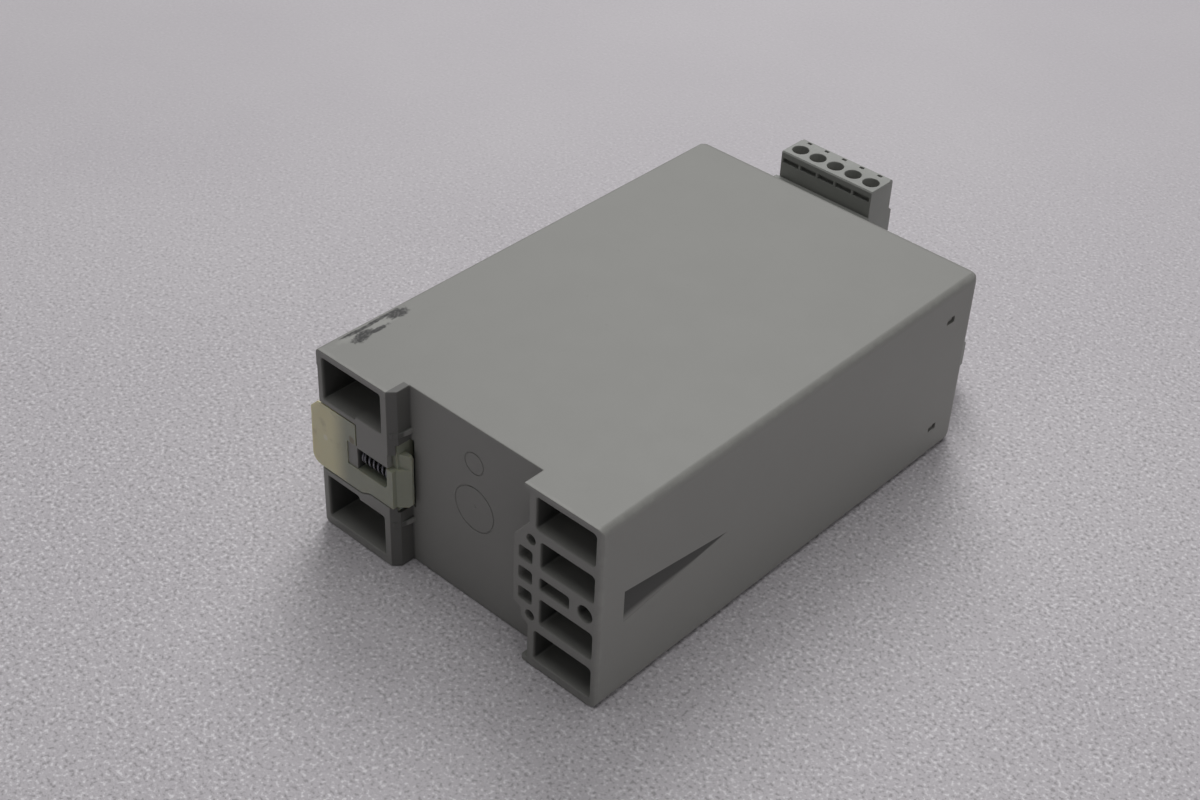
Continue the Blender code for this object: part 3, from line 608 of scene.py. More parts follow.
def winding_look():
    """Enamelled wire laid side by side, darker in the grooves between the turns as painted shade."""
    look = Look("enamelled_wire", 0.28, 0.9)
    waves = look.node("ShaderNodeTexWave", {"Vector": look.place, "Scale": 260.0, "Distortion": 0.6},
                      wave_type="BANDS", bands_direction="Y").outputs["Fac"]
    # Painted shade: the colour runs from bright copper on the turns to dark brown in the grooves between
    # them.
    look.set(Base_Color=look.mix(waves, (0.16, 0.05, 0.015), (0.62, 0.25, 0.08)))
    look.set(Normal=look.bump(waves, 0.0002))
    return look.material


def pipe_look():
    look = moulded("clear_green_plastic", (0.50, 0.72, 0.52), 0.14, grain=0.000004)
    look.set(Transmission_Weight=0.35, IOR=1.49)
    return look.material


# ---- Housing ----
def housing_blank(mat):
    """The outer block with the rail recess; its long edges and corners have different radii."""
    root = RECESS_LATCH + LEG_CHAMFER
    outline = [
        (LATCH_SIDE, FRONT),
        (LATCH_SIDE, LEG),
        (root, LEG),
        (RECESS_LATCH, LEG - LEG_CHAMFER),
        (RECESS_LATCH, 0),
        (RECESS_FIXED, 0),
        (RECESS_FIXED, LEG),
        (FIXED_SIDE, LEG),
        (FIXED_SIDE, FRONT),
    ]
    shape = prism(outline, "Z", -HALF, HALF)
    weight = shape.edges.layers.float.new("bevel_weight_edge")
    for edge in shape.edges:
        a, b = (v.co for v in edge.verts)
        upright = abs(a.z - b.z) > HALF
        along_side = a.x == b.x and (abs(a.x - LATCH_SIDE) < PAST or abs(a.x - FIXED_SIDE) < PAST)
        along_front = a.y == b.y and abs(a.y - FRONT) < PAST
        latch_edge = along_side and not upright and a.x > 0
        if upright and abs(a.y - FRONT) < PAST:
            edge[weight] = 1.0
        elif latch_edge or (upright and abs(a.x - FIXED_SIDE) < PAST):
            edge[weight] = REAR_EDGE / CORNER
        elif not upright and (along_side or along_front):
            edge[weight] = LONG_EDGE / CORNER
    obj = piece("power_supply_case", shape, mat)
    modifier = obj.modifiers.new("Moulded radii", "BEVEL")
    modifier.width = CORNER
    modifier.segments = 7
    modifier.limit_method = "WEIGHT"
    baked(obj)
    rounded(obj, RIM, 2, 50)
    return obj


def inner_hollow():
    room = (-HALF + WALL, HALF - WALL)
    wide = box((FIXED_SIDE + WALL, LATCH_SIDE - WALL), (FRONT - PAST, BULKHEAD), room)
    seat = box(about(0, 0.0326), (BULKHEAD - PAST, -0.0018), room)
    behind_latch = box((0.0212, 0.0383), (BULKHEAD - PAST, -0.0033), (-0.0078, 0.0088))
    return wide, seat, behind_latch


def softened(outline, radius=0.0006, steps=4):
    """An anticlockwise outline with each convex corner rounded, apart from the sharpest."""
    outline = anticlockwise(outline)
    points = []
    for i, here in enumerate(outline):
        corner = Vector(here)
        to_before = (Vector(outline[i - 1]) - corner).normalized()
        to_after = (Vector(outline[(i + 1) % len(outline)]) - corner).normalized()
        hollow = to_before.x * to_after.y - to_before.y * to_after.x > 0
        if hollow or to_before.dot(to_after) > 0.1:
            points.append(here)
            continue
        for k in range(steps + 1):
            t = k / steps
            a, b = corner + to_before * radius, corner + to_after * radius
            point = a * (1 - t) ** 2 + corner * 2 * t * (1 - t) + b * t * t
            points.append(tuple(point))
    return points


def latch_leg_cells():
    """Two deep cells, each with a small step where the web over the slider begins."""
    x0, x1 = LATCH_CELL
    step = LATCH_STEP
    upper = [(x1, 0.0105), (x1, CELL_TOP), (x0, CELL_TOP), (x0, 0.0113), (step, 0.0113), (step, 0.0105)]
    lower = [(x1, CELL_LOW), (x1, -0.0094), (step, -0.0094), (step, -0.0102), (x0, -0.0102), (x0, CELL_LOW)]
    return [pocket(softened(outline), "Y", CELL_FLOOR, LEG) for outline in (upper, lower)]


def slot_edge(offset):
    """The lower edge of the slider's raised face, which sweeps up towards the nose."""
    steps = 8
    points = []
    for i in range(steps + 1):
        t = i / steps
        ease = t * t * (3 - 2 * t)
        points.append((SWEEP_START - SWEEP_LENGTH * t, SLIDER_MIN.z + SWEEP_RISE * ease + offset))
    return points


def latch_channel():
    low, high, back = SLIDER_MIN.z, SLIDER_MAX.z, SLIDER_MIN.y
    deep = box((RECESS_LATCH - PAST, LATCH_SIDE + PAST), (back - GAP, 0.0037), (low - GAP, high + GAP))
    outline = [
        (LATCH_SIDE + PAST, low - GAP),
        (LATCH_SIDE + PAST, high + GAP),
        (TAB_FRONT - GAP, high + GAP),
        (TAB_FRONT - GAP, WEB_EDGE),
        (RECESS_LATCH - PAST, WEB_EDGE),
        (RECESS_LATCH - PAST, NOSE_LOW - GAP),
        *reversed(slot_edge(-GAP)),
    ]
    mouth = [(0.0030, 0), (LEG - 0.00015, 0), (LEG, 0.00015), (LEG + PAST, 0.00015)]
    return deep, profiled(outline, "Y", mouth)


def nose_clearance():
    root = RECESS_LATCH + LEG_CHAMFER + 0.0001
    return box((RECESS_LATCH - PAST, root), (0.0030, LEG + PAST), (0, NOSE_HIGH + GAP))


def fixed_leg_cells():
    rooms = (
        (WIDE_CELL, 0.0131, CELL_TOP),
        (NARROW_CELL, 0.0040, 0.0107),
        (NARROW_CELL, -0.0104, -0.0037),
        (WIDE_CELL, CELL_LOW, -0.0127),
    )
    shapes = []
    for x1, low, high in rooms:
        outline = round_rect((FIXED_CELL_OUTER, x1), (low, high), CELL_ROUND)
        shapes.append(pocket(outline, "Y", CELL_FLOOR, LEG))
    slot = pocket(round_rect((-0.0300, -0.0223), (-0.0014, 0.0017), 0.0006), "Y", CELL_FLOOR, LEG)
    hole = pocket(circle(-0.0340, 0.0002, 0.0019), "Y", 0.0010, LEG)
    return [*shapes, slot, hole]


def hook():
    """The fixed hook that grips behind the rail's flange; its lower end bulges round a hole."""
    outline = [
        (SET_BACK - 0.0006, 0.0146),
        (SET_BACK, 0.0138),
        (HOOK_TIP, 0.0086),
        (HOOK_TIP, -0.0080),
        (-0.0175, -0.0090),
        (-0.0178, -0.0110),
        (-0.0190, -0.0121),
        (SET_BACK - 0.0006, -0.0123),
    ]
    return boss(softened(outline), "Y", FLANGE_ROOM, LEG, 0.00025)


def hook_cells():
    cells = []
    for z in HOOK_CELLS:
        outline = round_rect((-0.0204, -0.0168), about(z, 0.0032), 0.0006)
        cells.append(pocket(outline, "Y", HOOK_FLOOR, LEG, 0.0002))
    for z in HOOK_HOLES:
        cells.append(pocket(circle(-0.0200, z, 0.0012, 24), "Y", HOOK_FLOOR, LEG, 0.00015))
    return cells


def guide_fins():
    """Two fins on the latch leg whose sloping edges centre the rail."""
    outline = [(0.0201, 0.0030), (0.0197, 0.0046), (0.0186, 0.0044), (0.0178, 0.0030), (0.0173, 0.0012),
               (0.0172, -0.0006), (0.0186, -0.0006)]
    fins = []
    soft = 0.00015
    for z in FINS:
        low, high = about(z, 0.0013)
        fins.append(profiled(outline, "Z", [(low, -soft), (low + soft, 0), (high - soft, 0), (high, -soft)]))
    return fins


def finger_wedge():
    """A scooped triangular recess in the fixed side: sharp above, running out flat below."""
    bm = bmesh.new()
    out = FIXED_SIDE - PAST
    lip = 0.00005
    steps = 10
    section = [(out, SCOOP_HALF)]
    for i in range(steps + 1):
        t = i / steps
        depth = lip + SCOOP_DEPTH * (1 - t) ** 1.3
        section.append((FIXED_SIDE + depth, SCOOP_HALF * (1 - 2 * t)))
    section.append((out, -SCOOP_HALF))
    rim = [bm.verts.new((x, SCOOP_WIDE, z)) for x, z in section]
    point = bm.verts.new((FIXED_SIDE + lip, SCOOP_TIP, 0))
    outer_point = bm.verts.new((out, SCOOP_TIP, 0))
    bm.faces.new(rim)
    bm.faces.new((rim[0], rim[-1], outer_point))
    bm.faces.new((rim[1], rim[0], outer_point, point))
    bm.faces.new((rim[-1], rim[-2], point, outer_point))
    for a, b in zip(rim[1:-2], rim[2:-1]):
        bm.faces.new((b, a, point))
    bmesh.ops.recalc_face_normals(bm, faces=bm.faces)
    return bm


def mould_ring(z, radius, width=RING_WIDTH, depth=RING_DEPTH):
    """A ring-shaped groove with a round bottom, engraved in the seat."""
    bm = bmesh.new()
    steps, floor_steps = 56, 6
    section = [(radius, PAST)]
    for i in range(floor_steps + 1):
        angle = math.pi * i / floor_steps
        section.append((radius + width / 2 - width / 2 * math.cos(angle), -depth * math.sin(angle)))
    section.append((radius + width, PAST))
    rows = [[bm.verts.new((u, y, v)) for u, v in circle(0, z, r, steps)] for r, y in section]
    for row, other in zip(rows, rows[1:] + rows[:1]):
        skin(bm, row, other)
    bmesh.ops.recalc_face_normals(bm, faces=bm.faces)
    return bm


def snap_windows():
    windows = []
    for x in (about(FIXED_SIDE, 0.0044), about(LATCH_SIDE, 0.0044)):
        for z in CATCH_Z:
            outline = round_rect((-0.1060, -0.1033), about(z, 0.0016), 0.0002, 3)
            windows.append(prism(outline, "X", *x))
    return windows


def make_case():
    obj = housing_blank(case_look())
    wide, seat, behind_latch = inner_hollow()
    cut(obj, wide)
    cut(obj, seat, behind_latch)
    rim = 0.0002
    mouth = [(0, 0), (LEG - rim, 0), (LEG, rim), (LEG + PAST, rim)]
    set_back = profiled(rect((SET_BACK, RECESS_FIXED + PAST), about(0, 0.0424)), "Y", mouth)
    cut(obj, set_back, *latch_leg_cells())
    add(obj, hook())
    deep, slot = latch_channel()
    cut(obj, deep, *fixed_leg_cells())
    cut(obj, slot, *hook_cells())
    cut(obj, nose_clearance())
    post = box(POST_X, (SLIDER_MIN.y - GAP - PAST, LEG - GAP), POST_Z)
    add(obj, post, *guide_fins())
    lip = box((LATCH_SIDE - LIP_DEPTH, LATCH_SIDE + PAST), (-0.0090, LEG + PAST), (0.0080, 0.0184))
    cut(obj, lip, finger_wedge(), mould_ring(0.0020, 0.0051), *snap_windows())
    pip = turned([(-0.0003, 0.0005), (0.00005, 0.00045), (0.00012, 0.0003)], "Y", (0, 0.0026), 16)
    add(obj, pip)
    cut(obj, mould_ring(0.0134, 0.0023))
    smoothed(obj)
    stands_for(obj, "housing", "housing_plastic", "housing_shell")


# ---- Latch ----
def tab_corner():
    """The outline of the finger tab's outer end, from its round lower corner to its sloping upper one."""
    tab, low, high = SLIDER_MAX.x, SLIDER_MIN.z, SLIDER_MAX.z
    slope_start, in_x, in_z = TAB_SLOPE
    return [
        *reversed(arc(tab - TAB_ROUND, low + TAB_ROUND, TAB_ROUND, 0, -90, 8)),
        (tab - in_x, high - in_z),
        (slope_start, high),
    ]


def make_latch():
    low, high = SLIDER_MIN.z, SLIDER_MAX.z
    back, top = SLIDER_MIN.y, SLIDER_MAX.y
    web = WEB_EDGE - GAP
    deep_outline = [*tab_corner(), (NECK, high), (NECK, low)]
    obj = piece("latch_slide_bar", prism(deep_outline, "Y", back, UNDER_WEB), nylon_look())
    face_outline = [*tab_corner(), (TAB_FRONT, high), (TAB_FRONT, web), (NECK, web), (NECK, NOSE_LOW),
                    *reversed(slot_edge(0))]
    add(obj, prism(face_outline, "Y", back + 0.0010, top))
    tip, flange = SLIDER_MIN.x, FLANGE_ROOM + 0.0001
    for z, height in (((NOSE_LOW, web), top), ((0, NOSE_HIGH), UNDER_WEB)):
        nose = [(tip, flange), (tip, 0.0017), (0.0196, height), (0.0215, height), (0.0215, flange)]
        add(obj, prism(nose, "Z", *z))
    low_corner = [(tip - PAST, NOSE_LOW + 0.0022), (tip - PAST, NOSE_LOW - PAST),
                  (tip + 0.0018, NOSE_LOW - PAST), (tip + 0.0006, NOSE_LOW)]
    upper_corner = [(tip - PAST, NOSE_HIGH + PAST), (tip - PAST, NOSE_HIGH - 0.0020),
                    (tip + 0.0012, NOSE_HIGH + PAST)]
    cut(obj, *[prism(corner, "Y", -PAST, LEG + PAST) for corner in (low_corner, upper_corner)])
    flange_side = [(0.0170, -0.0030), (0.0170, flange), (0.0182, flange), (0.0190, -0.0030)]
    cut(obj, prism(flange_side, "Z", -HALF, HALF))
    inner_round = 0.0012
    centre_x = WINDOW_X[0] + inner_round
    window = [
        (WINDOW_X[1], WINDOW_Z[0]),
        (WINDOW_X[1], WINDOW_Z[1]),
        *arc(centre_x, WINDOW_Z[1] - inner_round, inner_round, 90, 180, 5),
        *arc(centre_x, WINDOW_Z[0] + inner_round, inner_round, 180, 270, 5),
    ]
    tidied(obj)
    rounded(obj, 0.0004, 3)
    cut(obj, prism(window, "Y", back - PAST, LEG + PAST))
    rounded(obj, 0.0001, 2, 50)
    smoothed(obj)
    stands_for(obj, "latch", "nylon", "latch_slider")


def make_spring():
    """A compression spring: round wire, closed end turns and an even pitch between them."""
    wire, radius = 0.00024, 0.0020
    turns, per_turn, closed = 7.5, 28, 1.2
    start, end = SPRING_MIN.x + 0.0001, SPRING_MAX.x - 0.0001
    _, middle_y, middle_z = middle_of("latch_spring")
    curve = bpy.data.curves.new("coil_spring", "CURVE")
    curve.dimensions = "3D"
    curve.bevel_depth = wire
    curve.bevel_resolution = 3
    curve.use_fill_caps = True
    count = int(turns * per_turn) + 1
    line = curve.splines.new("POLY")
    line.points.add(count - 1)
    room = end - start - 2 * wire
    closed_rise = 1.04 * 2 * wire * closed
    open_turns = turns - 2 * closed
    for i in range(count):
        turn = i / per_turn
        if turn < closed:
            x = closed_rise * turn / closed
        elif turn > turns - closed:
            x = room - closed_rise * (turns - turn) / closed
        else:
            x = closed_rise + (room - 2 * closed_rise) * (turn - closed) / open_turns
        angle = 2 * math.pi * turn
        y, z = radius * math.cos(angle), radius * math.sin(angle)
        line.points[i].co = (start + wire + x, middle_y + y, middle_z + z, 1)
    curve.materials.append(spring_look())
    coil = placed("coil_spring", curve)
    bpy.context.view_layer.update()
    mesh = bpy.data.meshes.new_from_object(coil.evaluated_get(bpy.context.evaluated_depsgraph_get()))
    bpy.data.objects.remove(coil)
    mesh.shade_smooth()
    obj = placed("compression_spring", mesh)
    stands_for(obj, "housing", "spring_steel", "latch_spring")
    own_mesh(obj)


# ---- Pluggable terminals ----
HEAD_RADIUS = 0.0016
SHANK_RADIUS = 0.0011
THREAD_PITCH = 0.0005
PLUG_REAR = -0.1236
FRONT_LIP = 0.0010
PIN_LEVEL = 0.0043
PIN_WIDTH = 0.0010
SOCKET_WIDTH = 0.0016
PIN_START = -0.1208
SOFT = 0.0002


def pole_centres(prefix):
    """Where each pole's clamp screw stands, as (x, y)."""
    centres = []
    for node in sorted(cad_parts):
        if node.startswith(prefix + "_clamp_screw_"):
            centres.append(tuple(middle_of(node).xy))
    return centres


def make_plug(prefix, plastic):
    """The plug's moulded body: screw holes on top, wire funnels in front, pin sockets behind."""
    low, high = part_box(prefix + "_plug_body")
    poles = pole_centres(prefix)
    base, top = low.z, high.z
    rear, mating = PLUG_REAR, high.y
    front = low.y + FRONT_LIP
    middle, width = (low.x + high.x) / 2, high.x - low.x
    profile = [
        (rear, base),
        (rear, top - 0.0003),
        (rear - 0.0003, top),
        (front + 0.0006, top),
        (front, top - 0.0006),
        (front, base + 0.0072),
        (low.y, base + 0.0064),
        (low.y, base),
    ]
    obj = piece(prefix + "_screw_plug", prism(profile, "X", low.x, high.x), plastic)
    rounded(obj, 0.00018, 2, 50)
    nose = (rear - PAST, mating)
    add(obj, boss(rect(about(middle, width - 0.0010), (base + 0.0010, base + 0.0076)), "Y", *nose, 0.0003))
    chamber_y = (front + 0.0011, rear - 0.0010)
    cut(obj, *[box(about(x, 0.0042), chamber_y, (base + 0.0009, base + 0.0100)) for x, _ in poles])
    cut(obj, *[rod("Z", pole, 0.0015, base + 0.0090, base + 0.0112) for pole in poles])
    cut(obj, *[pocket(circle(*pole, 0.00195), "Z", base + 0.0109, top, 0.0002, 0.0001) for pole in poles])
    funnels = []
    for x, _ in poles:
        outline = round_rect(about(x, 0.0034), (base + 0.0021, base + 0.0057), 0.0005)
        flare = [(front + 0.0020, 0), (front - 0.0002, 0), (low.y - 0.0001, 0.00045), (low.y - PAST, 0.00045)]
        funnels.append(profiled(outline, "Y", flare))
    cut(obj, *funnels)
    sockets = []
    for x, _ in poles:
        outline = rect(about(x, SOCKET_WIDTH), about(base + PIN_LEVEL, SOCKET_WIDTH))
        sockets.append(pocket(outline, "Y", rear + 0.0018, mating, SOFT, SOFT))
    notches = [box(about(x + 0.0003, 0.0012), about(front + 0.0013, 0.0008), (top - 0.0006, top + PAST))
               for x, _ in poles]
    groove_y, groove_z = (rear - 0.0012, rear + PAST), (top - 0.0029, top - 0.0016)
    pitch = abs(poles[1][0] - poles[0][0])
    grooves = [box(about(x, pitch - 0.0005), groove_y, groove_z) for x, _ in poles]
    cut(obj, *grooves, *sockets, *notches)
    rebates = []
    for side in (-1, 1):
        x = sorted((middle + side * (width / 2 - 0.0003), middle + side * (width / 2 + PAST)))
        rebates.append(box(x, (low.y - PAST, front + 0.0013), (base - PAST, top + PAST)))
    ribs = []
    rib_y, rib_z = (rear + 0.0012, mating + PAST), (base + 0.0068, base + 0.0090)
    for (a, _), (b, _) in zip(poles, poles[1:]):
        ribs.append(box(about((a + b) / 2, 0.0008), rib_y, rib_z))
    cut(obj, *rebates, *ribs)
    smoothed(obj)
    stands_for(obj, prefix + "_plug", "plug_plastic", prefix + "_plug_body")


def threaded_shank(centre, radius, low, high):
    """A shank whose thread is a true helix, tapering out at its lower end."""
    bm = bmesh.new()
    around, per_pitch = 24, 4
    depth = 0.00012
    u, v = centre
    count = int((high - low) / THREAD_PITCH * per_pitch)
    rows = []
    for k in range(count + 1):
        z = low + (high - low) * k / count
        row = []
        for i in range(around):
            angle = 2 * math.pi * i / around
            phase = (z / THREAD_PITCH - i / around) % 1.0
            ridge = abs(2 * phase - 1)
            fade = min(1.0, (z - low) / (2 * THREAD_PITCH), (high - z) / THREAD_PITCH)
            r = radius - depth * (1 - ridge * fade)
            row.append(bm.verts.new((u + r * math.cos(angle), v + r * math.sin(angle), z)))
        rows.append(row)
    bm.faces.new(rows[0])
    bm.faces.new(rows[-1])
    for lower, upper in zip(rows, rows[1:]):
        skin(bm, lower, upper)
    bmesh.ops.recalc_face_normals(bm, faces=bm.faces)
    return bm


def make_screw(node, body, steel):
    low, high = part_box(node)
    centre = tuple(middle_of(node).xy)
    head = [(high.z - 0.0015, HEAD_RADIUS - 0.00015), (high.z - 0.00135, HEAD_RADIUS),
            (high.z - 0.00035, HEAD_RADIUS), (high.z - 0.00012, HEAD_RADIUS - 0.0001),
            (high.z, HEAD_RADIUS - 0.00035)]
    obj = piece(node.replace("clamp_screw", "screw"), turned(head, "Z", centre), steel)
    add(obj, threaded_shank(centre, SHANK_RADIUS, low.z, high.z - 0.0012))
    slot = profiled(rect(about(centre[0], 0.0005), about(centre[1], 0.0050)), "Z",
                    [(high.z - 0.0007, 0), (high.z - 0.0001, 0), (high.z, 0.00008), (high.z + PAST, 0.00008)])
    cut(obj, slot)
    smoothed(obj, 30)
    stands_for(obj, body, "screw_steel", node)


def make_cage(node, body, brass):
    """A clamp cage bent from strip, with its seam below and a threaded collar above."""
    low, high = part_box(node)
    middle_x, middle_y = middle_of(node).xy
    outline = round_rect((low.x, high.x), (low.z, high.z), 0.0005)
    soft = 0.0001
    profile = [(low.y, -soft), (low.y + soft, 0), (high.y - soft, 0), (high.y, -soft)]
    obj = piece(node.replace("wire_cage", "clamp_cage"), profiled(outline, "Y", profile), brass)
    window = round_rect(about(middle_x, 0.0026), (low.z + 0.0008, low.z + 0.0050), 0.0003)
    cut(obj, prism(window, "Y", low.y - PAST, high.y + PAST))
    cut(obj, rod("Z", (middle_x, middle_y), 0.0014, low.z + 0.0038, high.z + PAST, 28))
    seam = box(about(middle_x, 0.0001), (low.y - PAST, high.y + PAST), (low.z - PAST, low.z + 0.0006))
    cut(obj, seam)
    smoothed(obj)
    stands_for(obj, body, "cage_metal", node)


def make_header(prefix, plastic, tin):
    """The shroud that the plug slides into, with coding grooves, and its square pins."""
    low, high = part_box(prefix + "_header")
    poles = pole_centres(prefix)
    plug_low, plug_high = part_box(prefix + "_plug_body")
    middle = (low.x + high.x) / 2
    back = plug_high.y + 0.0008
    obj = piece(prefix + "_socket", box((low.x, high.x), (low.y, high.y), (low.z, high.z)), plastic)
    rounded(obj, SOFT, 2, 50)
    inside = rect(about(middle, plug_high.x - plug_low.x - 0.0004), (low.z + 0.0007, low.z + 0.0079))
    cut(obj, pocket(inside, "Y", back, low.y, SOFT, SOFT))
    grooves = [box(about(x, 0.0010), (low.y - PAST, low.y + 0.0050), (low.z + 0.0070, low.z + 0.0083))
               for x, _ in poles]
    cut(obj, *grooves)
    smoothed(obj)
    stands_for(obj, "housing", "header_plastic", prefix + "_header")
    pins = []
    for x, _ in poles:
        outline = rect(about(x, PIN_WIDTH), about(low.z + PIN_LEVEL, PIN_WIDTH))
        pin = [(PIN_START, -0.0003), (PIN_START + 0.0008, 0), (back + 0.0006, 0)]
        pins.append(profiled(outline, "Y", pin))
    pin_row = piece(prefix + "_pins", gathered(pins), tin)
    stands_for(pin_row, "housing", "cage_metal")


# ---- Front panel and indicators ----
def make_front_panel(plastic):
    """The cover that snaps into the case: a plate with framed openings and four catches."""
    low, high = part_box("front_panel")
    inner = low.y + 0.0018
    inside_x = (FIXED_SIDE + WALL + GAP, LATCH_SIDE - WALL - GAP)
    inside_z = (-HALF + WALL + GAP, HALF - WALL - GAP)
    plate = round_rect(inside_x, inside_z, 0.0003, 3)
    shape = profiled(plate, "Y", [(low.y, -SOFT), (low.y + SOFT, 0), (inner, 0)])
    obj = piece("front_cover", shape, plastic)
    arm_y = (inner - 0.0008, -0.1023)
    arms, catches = [], []
    thick, short = 0.0012, 0.0005
    sides = ((inside_x[0], thick, FIXED_SIDE + short), (inside_x[1], -thick, LATCH_SIDE - short))
    for x, inward, catch in sides:
        for z in CATCH_Z:
            arms.append(box(sorted((x, x + inward)), arm_y, about(z, 0.0026)))
            ends = sorted((x + inward / 2, catch))
            catches.append(box(ends, (-0.1057, -0.1036), about(z, 0.0010)))
    add(obj, *arms)
    add(obj, *catches)
    openings = []
    for prefix in ("dc", "ac"):
        socket_low, socket_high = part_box(prefix + "_header")
        x = (socket_low.x - GAP, socket_high.x + GAP)
        z = (socket_low.z - GAP, socket_high.z + GAP)
        openings.append(box(x, (low.y - PAST, inner + PAST), z))
    light = tuple(middle_of("light_pipe").xz)
    trim = tuple(middle_of("trim_pot_rotor").xz)
    holes = [pocket(circle(*light, 0.0018), "Y", inner + PAST, low.y, SOFT, 0.0001),
             pocket(circle(*trim, 0.0020), "Y", inner + PAST, low.y, 0.0003, 0.0001)]
    cut(obj, *openings, *holes)
    cut(obj, *dial_marks(trim, low.y))
    smoothed(obj)
    stands_for(obj, "housing", "panel_plastic", "front_panel")


def dial_marks(centre, face):
    """Short radial strokes round the trimmer, from one end of its turn to the other."""
    marks = []
    count, sweep, near, far, half, depth = 7, 270, 0.0027, 0.0035, 0.00015, 0.00015
    for i in range(count):
        angle = math.radians(90 - sweep / 2 + sweep * i / (count - 1))
        out = Vector((math.cos(angle), math.sin(angle)))
        side = Vector((-out.y, out.x)) * half
        middle = Vector(centre)
        outline = [middle + out * near - side, middle + out * far - side,
                   middle + out * far + side, middle + out * near + side]
        marks.append(prism([tuple(p) for p in outline], "Y", face - PAST, face + depth))
    return marks


def make_indicators(clear, rotor_plastic):
    low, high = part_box("light_pipe")
    centre = tuple(middle_of("light_pipe").xz)
    radius = (high.x - low.x) / 2
    dome = [(low.y + 0.0004 * (1 - math.cos(math.radians(a))), radius * math.sin(math.radians(a)))
            for a in (20, 45, 70, 90)]
    pipe = piece("status_light_pipe", turned([*dome, (high.y, radius)], "Y", centre), clear)
    smoothed(pipe)
    stands_for(pipe, "housing", "light_pipe_plastic", "light_pipe")
    low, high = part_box("trim_pot_rotor")
    centre = tuple(middle_of("trim_pot_rotor").xz)
    radius = (high.x - low.x) / 2
    profile = [(low.y, radius - 0.0002), (low.y + 0.0002, radius), (high.y, radius)]
    rotor = piece("voltage_trimmer", turned(profile, "Y", centre), rotor_plastic)
    half, head, tail, barb, tip = 0.0002, 0.0006, -0.0011, 0.0003, 0.0012
    shape = [(-half, tail), (half, tail), (half, barb), (head, barb), (0, tip), (-head, barb), (-half, barb)]
    arrow = [(centre[0] + u, centre[1] + v) for u, v in shape]
    cut(rotor, prism(arrow, "Y", low.y - PAST, low.y + 0.0007))
    smoothed(rotor)
    stands_for(rotor, "trimmer", "trimmer_rotor", "trim_pot_rotor")


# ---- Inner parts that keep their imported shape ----
def finish_inner_parts():
    """Gives each inner node its material and softens its edges."""
    black = moulded("filled_epoxy", (0.020, 0.020, 0.021), 0.42, mottle=0.15)
    ferrite = moulded("sintered_ferrite", (0.050, 0.048, 0.050), 0.62, 0.00004, 0.2)
    sleeve = moulded("shrink_sleeve", (0.018, 0.020, 0.030), 0.30, 0.000006, 0.1)
    film = moulded("polyester_film", (0.72, 0.70, 0.60), 0.25, 0.000004)
    aluminium = metal("extruded_aluminium", (0.62, 0.62, 0.61), 0.34, (1.0, 1.0, 0.05))
    looks = (
        (board_look(), ("front_board", "main_board")),
        (winding_look(), ("choke_winding_a", "choke_winding_b")),
        (black.material, ("board_link", "fuse", "bridge_rectifier", "controller_chip", "optocoupler",
                          "power_transistor", "output_rectifier")),
        (ferrite.material, ("choke_core", "output_choke", "transformer_core_front", "transformer_core_rear")),
        (sleeve.material, ("bulk_capacitor", "output_capacitor_1", "output_capacitor_2")),
        (film.material, ("insulation_sheet",)),
        (aluminium.material, ("primary_heat_sink", "secondary_heat_sink")),
    )
    for mat, nodes in looks:
        for node in nodes:
            finish(node, mat)
    single = (
        ("status_led", "led_epoxy", (0.10, 0.48, 0.13), 0.2),
        ("trim_pot_body", "trimmer_blue", (0.03, 0.10, 0.34), 0.4),
        ("thermistor", "dark_green_coating", (0.06, 0.08, 0.05), 0.35),
        ("varistor", "blue_coating", (0.03, 0.10, 0.33), 0.30),
        ("y_capacitor", "pale_blue_coating", (0.08, 0.22, 0.46), 0.32),
        ("x_capacitor", "yellow_case", (0.52, 0.37, 0.05), 0.38),
        ("transformer_bobbin", "bobbin_resin", (0.035, 0.035, 0.042), 0.45),
        ("transformer_winding", "polyester_tape", (0.58, 0.45, 0.07), 0.26),
    )
    for node, name, color, roughness in single:
        finish(node, moulded(name, color, roughness).material)


def finish(node, mat):
    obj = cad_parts[node]
    for slot in obj.material_slots:
        slot.material = mat
    edge_bevel(obj, 0.00015, 2, 50)


# ---- Stage ----
FLOOR_SPAN = 3.0


def make_floor():
    """A pale foam sheet whose glittering grain is strongest near the view and fades beyond it."""
    look = Look("pale_floor", 0.62)
    cloud = look.steps(look.noise(9.0, 3.0), 0.3, 0.7)
    grain = look.noise(1200.0, 3.0)
    tone = look.mix(cloud, (0.64, 0.606, 0.638), (0.68, 0.647, 0.675))
    x, y, _ = look.axes()
    near = look.steps(look.math("SUBTRACT", x, y), 0.02, 0.34, 0.80, 0.10)
    pale = look.product(look.steps(grain, 0.54, 0.68), near)
    dark = look.product(look.steps(grain, 0.32, 0.46, 1.0, 0.0), near)
    tone = look.mix(pale, tone, (0.98, 0.95, 0.98))
    tone = look.mix(dark, tone, (0.38, 0.36, 0.375))
    look.set(Base_Color=tone)
    look.set(Normal=look.bump(look.noise(900.0, 4.0), look.product(near, 0.0004)))
    bm = bmesh.new()
    bmesh.ops.create_grid(bm, x_segments=1, y_segments=1, size=FLOOR_SPAN)
    bmesh.ops.translate(bm, verts=bm.verts, vec=(0, 0, -HALF - 0.0001))
    floor = piece("floor", bm, look.material)


def area_light(name, place, aim, size, power):
    light = bpy.data.lights.new(name, "AREA")
    light.shape = "DISK"
    light.size = size
    light.energy = power
    obj = placed(name, light)
    obj.location = place
    obj.rotation_mode = "QUATERNION"
    obj.rotation_quaternion = (Vector(aim) - Vector(place)).to_track_quat("-Z", "Y")


AMBIENT = 0.11
LIGHTS = (
    ("overhead", (0.0, -0.05, 1.2), 1.0, 4.4),
    ("behind", (0.55, -0.75, 0.95), 0.7, 6.4),
    ("low_side", (-1.10, -0.15, 0.30), 0.8, 1.1),
)


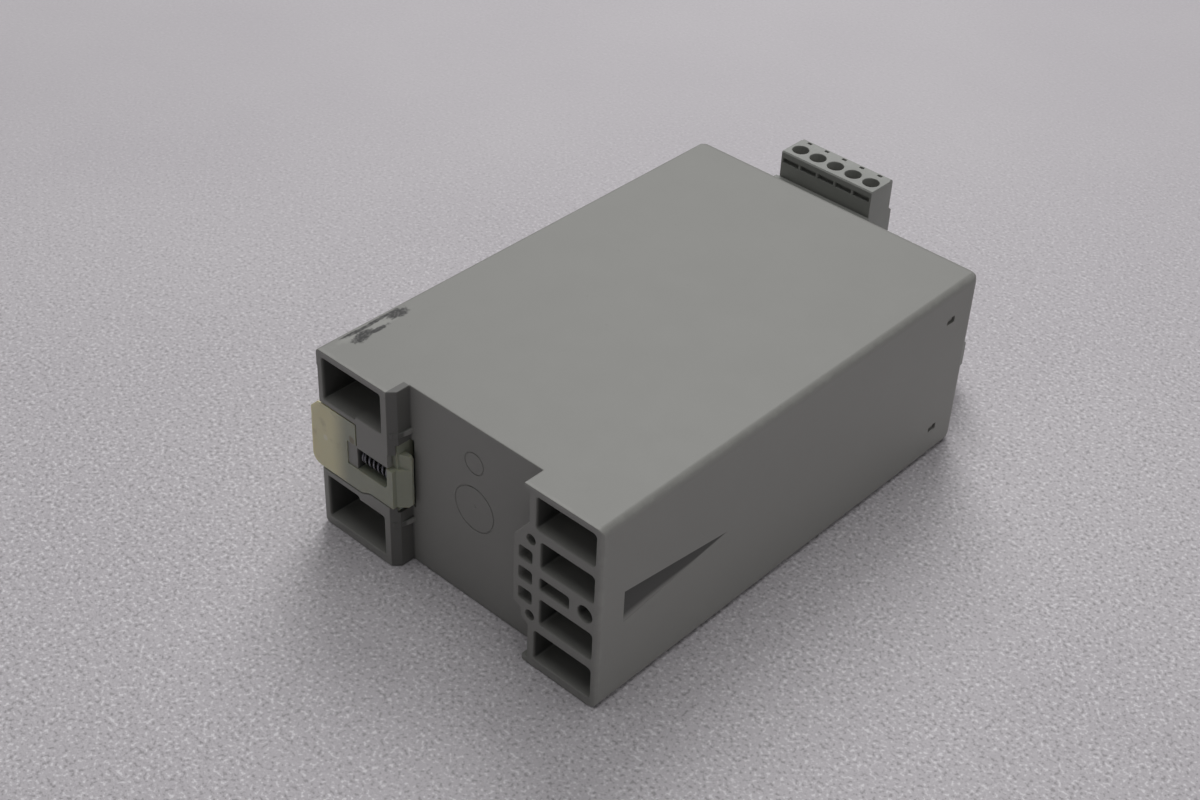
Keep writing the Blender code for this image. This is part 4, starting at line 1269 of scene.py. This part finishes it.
def make_lights():
    world = bpy.data.worlds.new("studio")
    world.use_nodes = True
    background = world.node_tree.nodes["Background"]
    background.inputs["Color"].default_value = (0.96, 0.98, 1.0, 1.0)
    background.inputs["Strength"].default_value = AMBIENT
    bpy.context.scene.world = world
    for name, place, size, power in LIGHTS:
        area_light(name, place, (0, -0.05, 0), size, power)


def make_camera():
    """A short telephoto view from the rear left, a little tilted."""
    camera = bpy.data.cameras.new("camera")
    camera.sensor_width = 36.0
    camera.lens = 57.05
    camera.clip_start = 0.01
    obj = placed("camera", camera)
    obj.location = (-0.2020, 0.1953, 0.2448)
    aim = Vector((0.0083, -0.0450, 0.0))
    roll = Quaternion((0, 0, 1), math.radians(2.69))
    obj.rotation_mode = "QUATERNION"
    obj.rotation_quaternion = (aim - obj.location).to_track_quat("-Z", "Y") @ roll
    bpy.context.scene.camera = obj


def main():
    make_camera()
    make_floor()
    make_lights()
    bpy.context.scene.view_settings.view_transform = "Standard"
    make_case()
    make_latch()
    make_spring()
    plug_plastic = moulded("plug_polyamide", PLUG_GREY, 0.45, mottle=0.05).material
    socket_plastic = moulded("socket_polyamide", shade_of(PLUG_GREY, 0.85), 0.45, mottle=0.05).material
    panel_plastic = moulded("panel_plastic", shade_of(CASE_GREY, 0.95), 0.5, mottle=0.03).material
    steel = metal("zinc_plate", (0.46, 0.45, 0.42), 0.32).material
    tin = metal("tin_plate", (0.60, 0.58, 0.52), 0.30, (1.0, 6.0, 1.0)).material
    for prefix in ("dc", "ac"):
        make_plug(prefix, plug_plastic)
        make_header(prefix, socket_plastic, tin)
        for number in range(1, len(pole_centres(prefix)) + 1):
            make_screw(f"{prefix}_clamp_screw_{number}", f"{prefix}_screw_{number}", steel)
            make_cage(f"{prefix}_wire_cage_{number}", f"{prefix}_cage_{number}", tin)
    make_front_panel(panel_plastic)
    rotor_plastic = moulded("rotor_plastic", (0.62, 0.60, 0.52), 0.4).material
    make_indicators(pipe_look(), rotor_plastic)
    finish_inner_parts()


main()
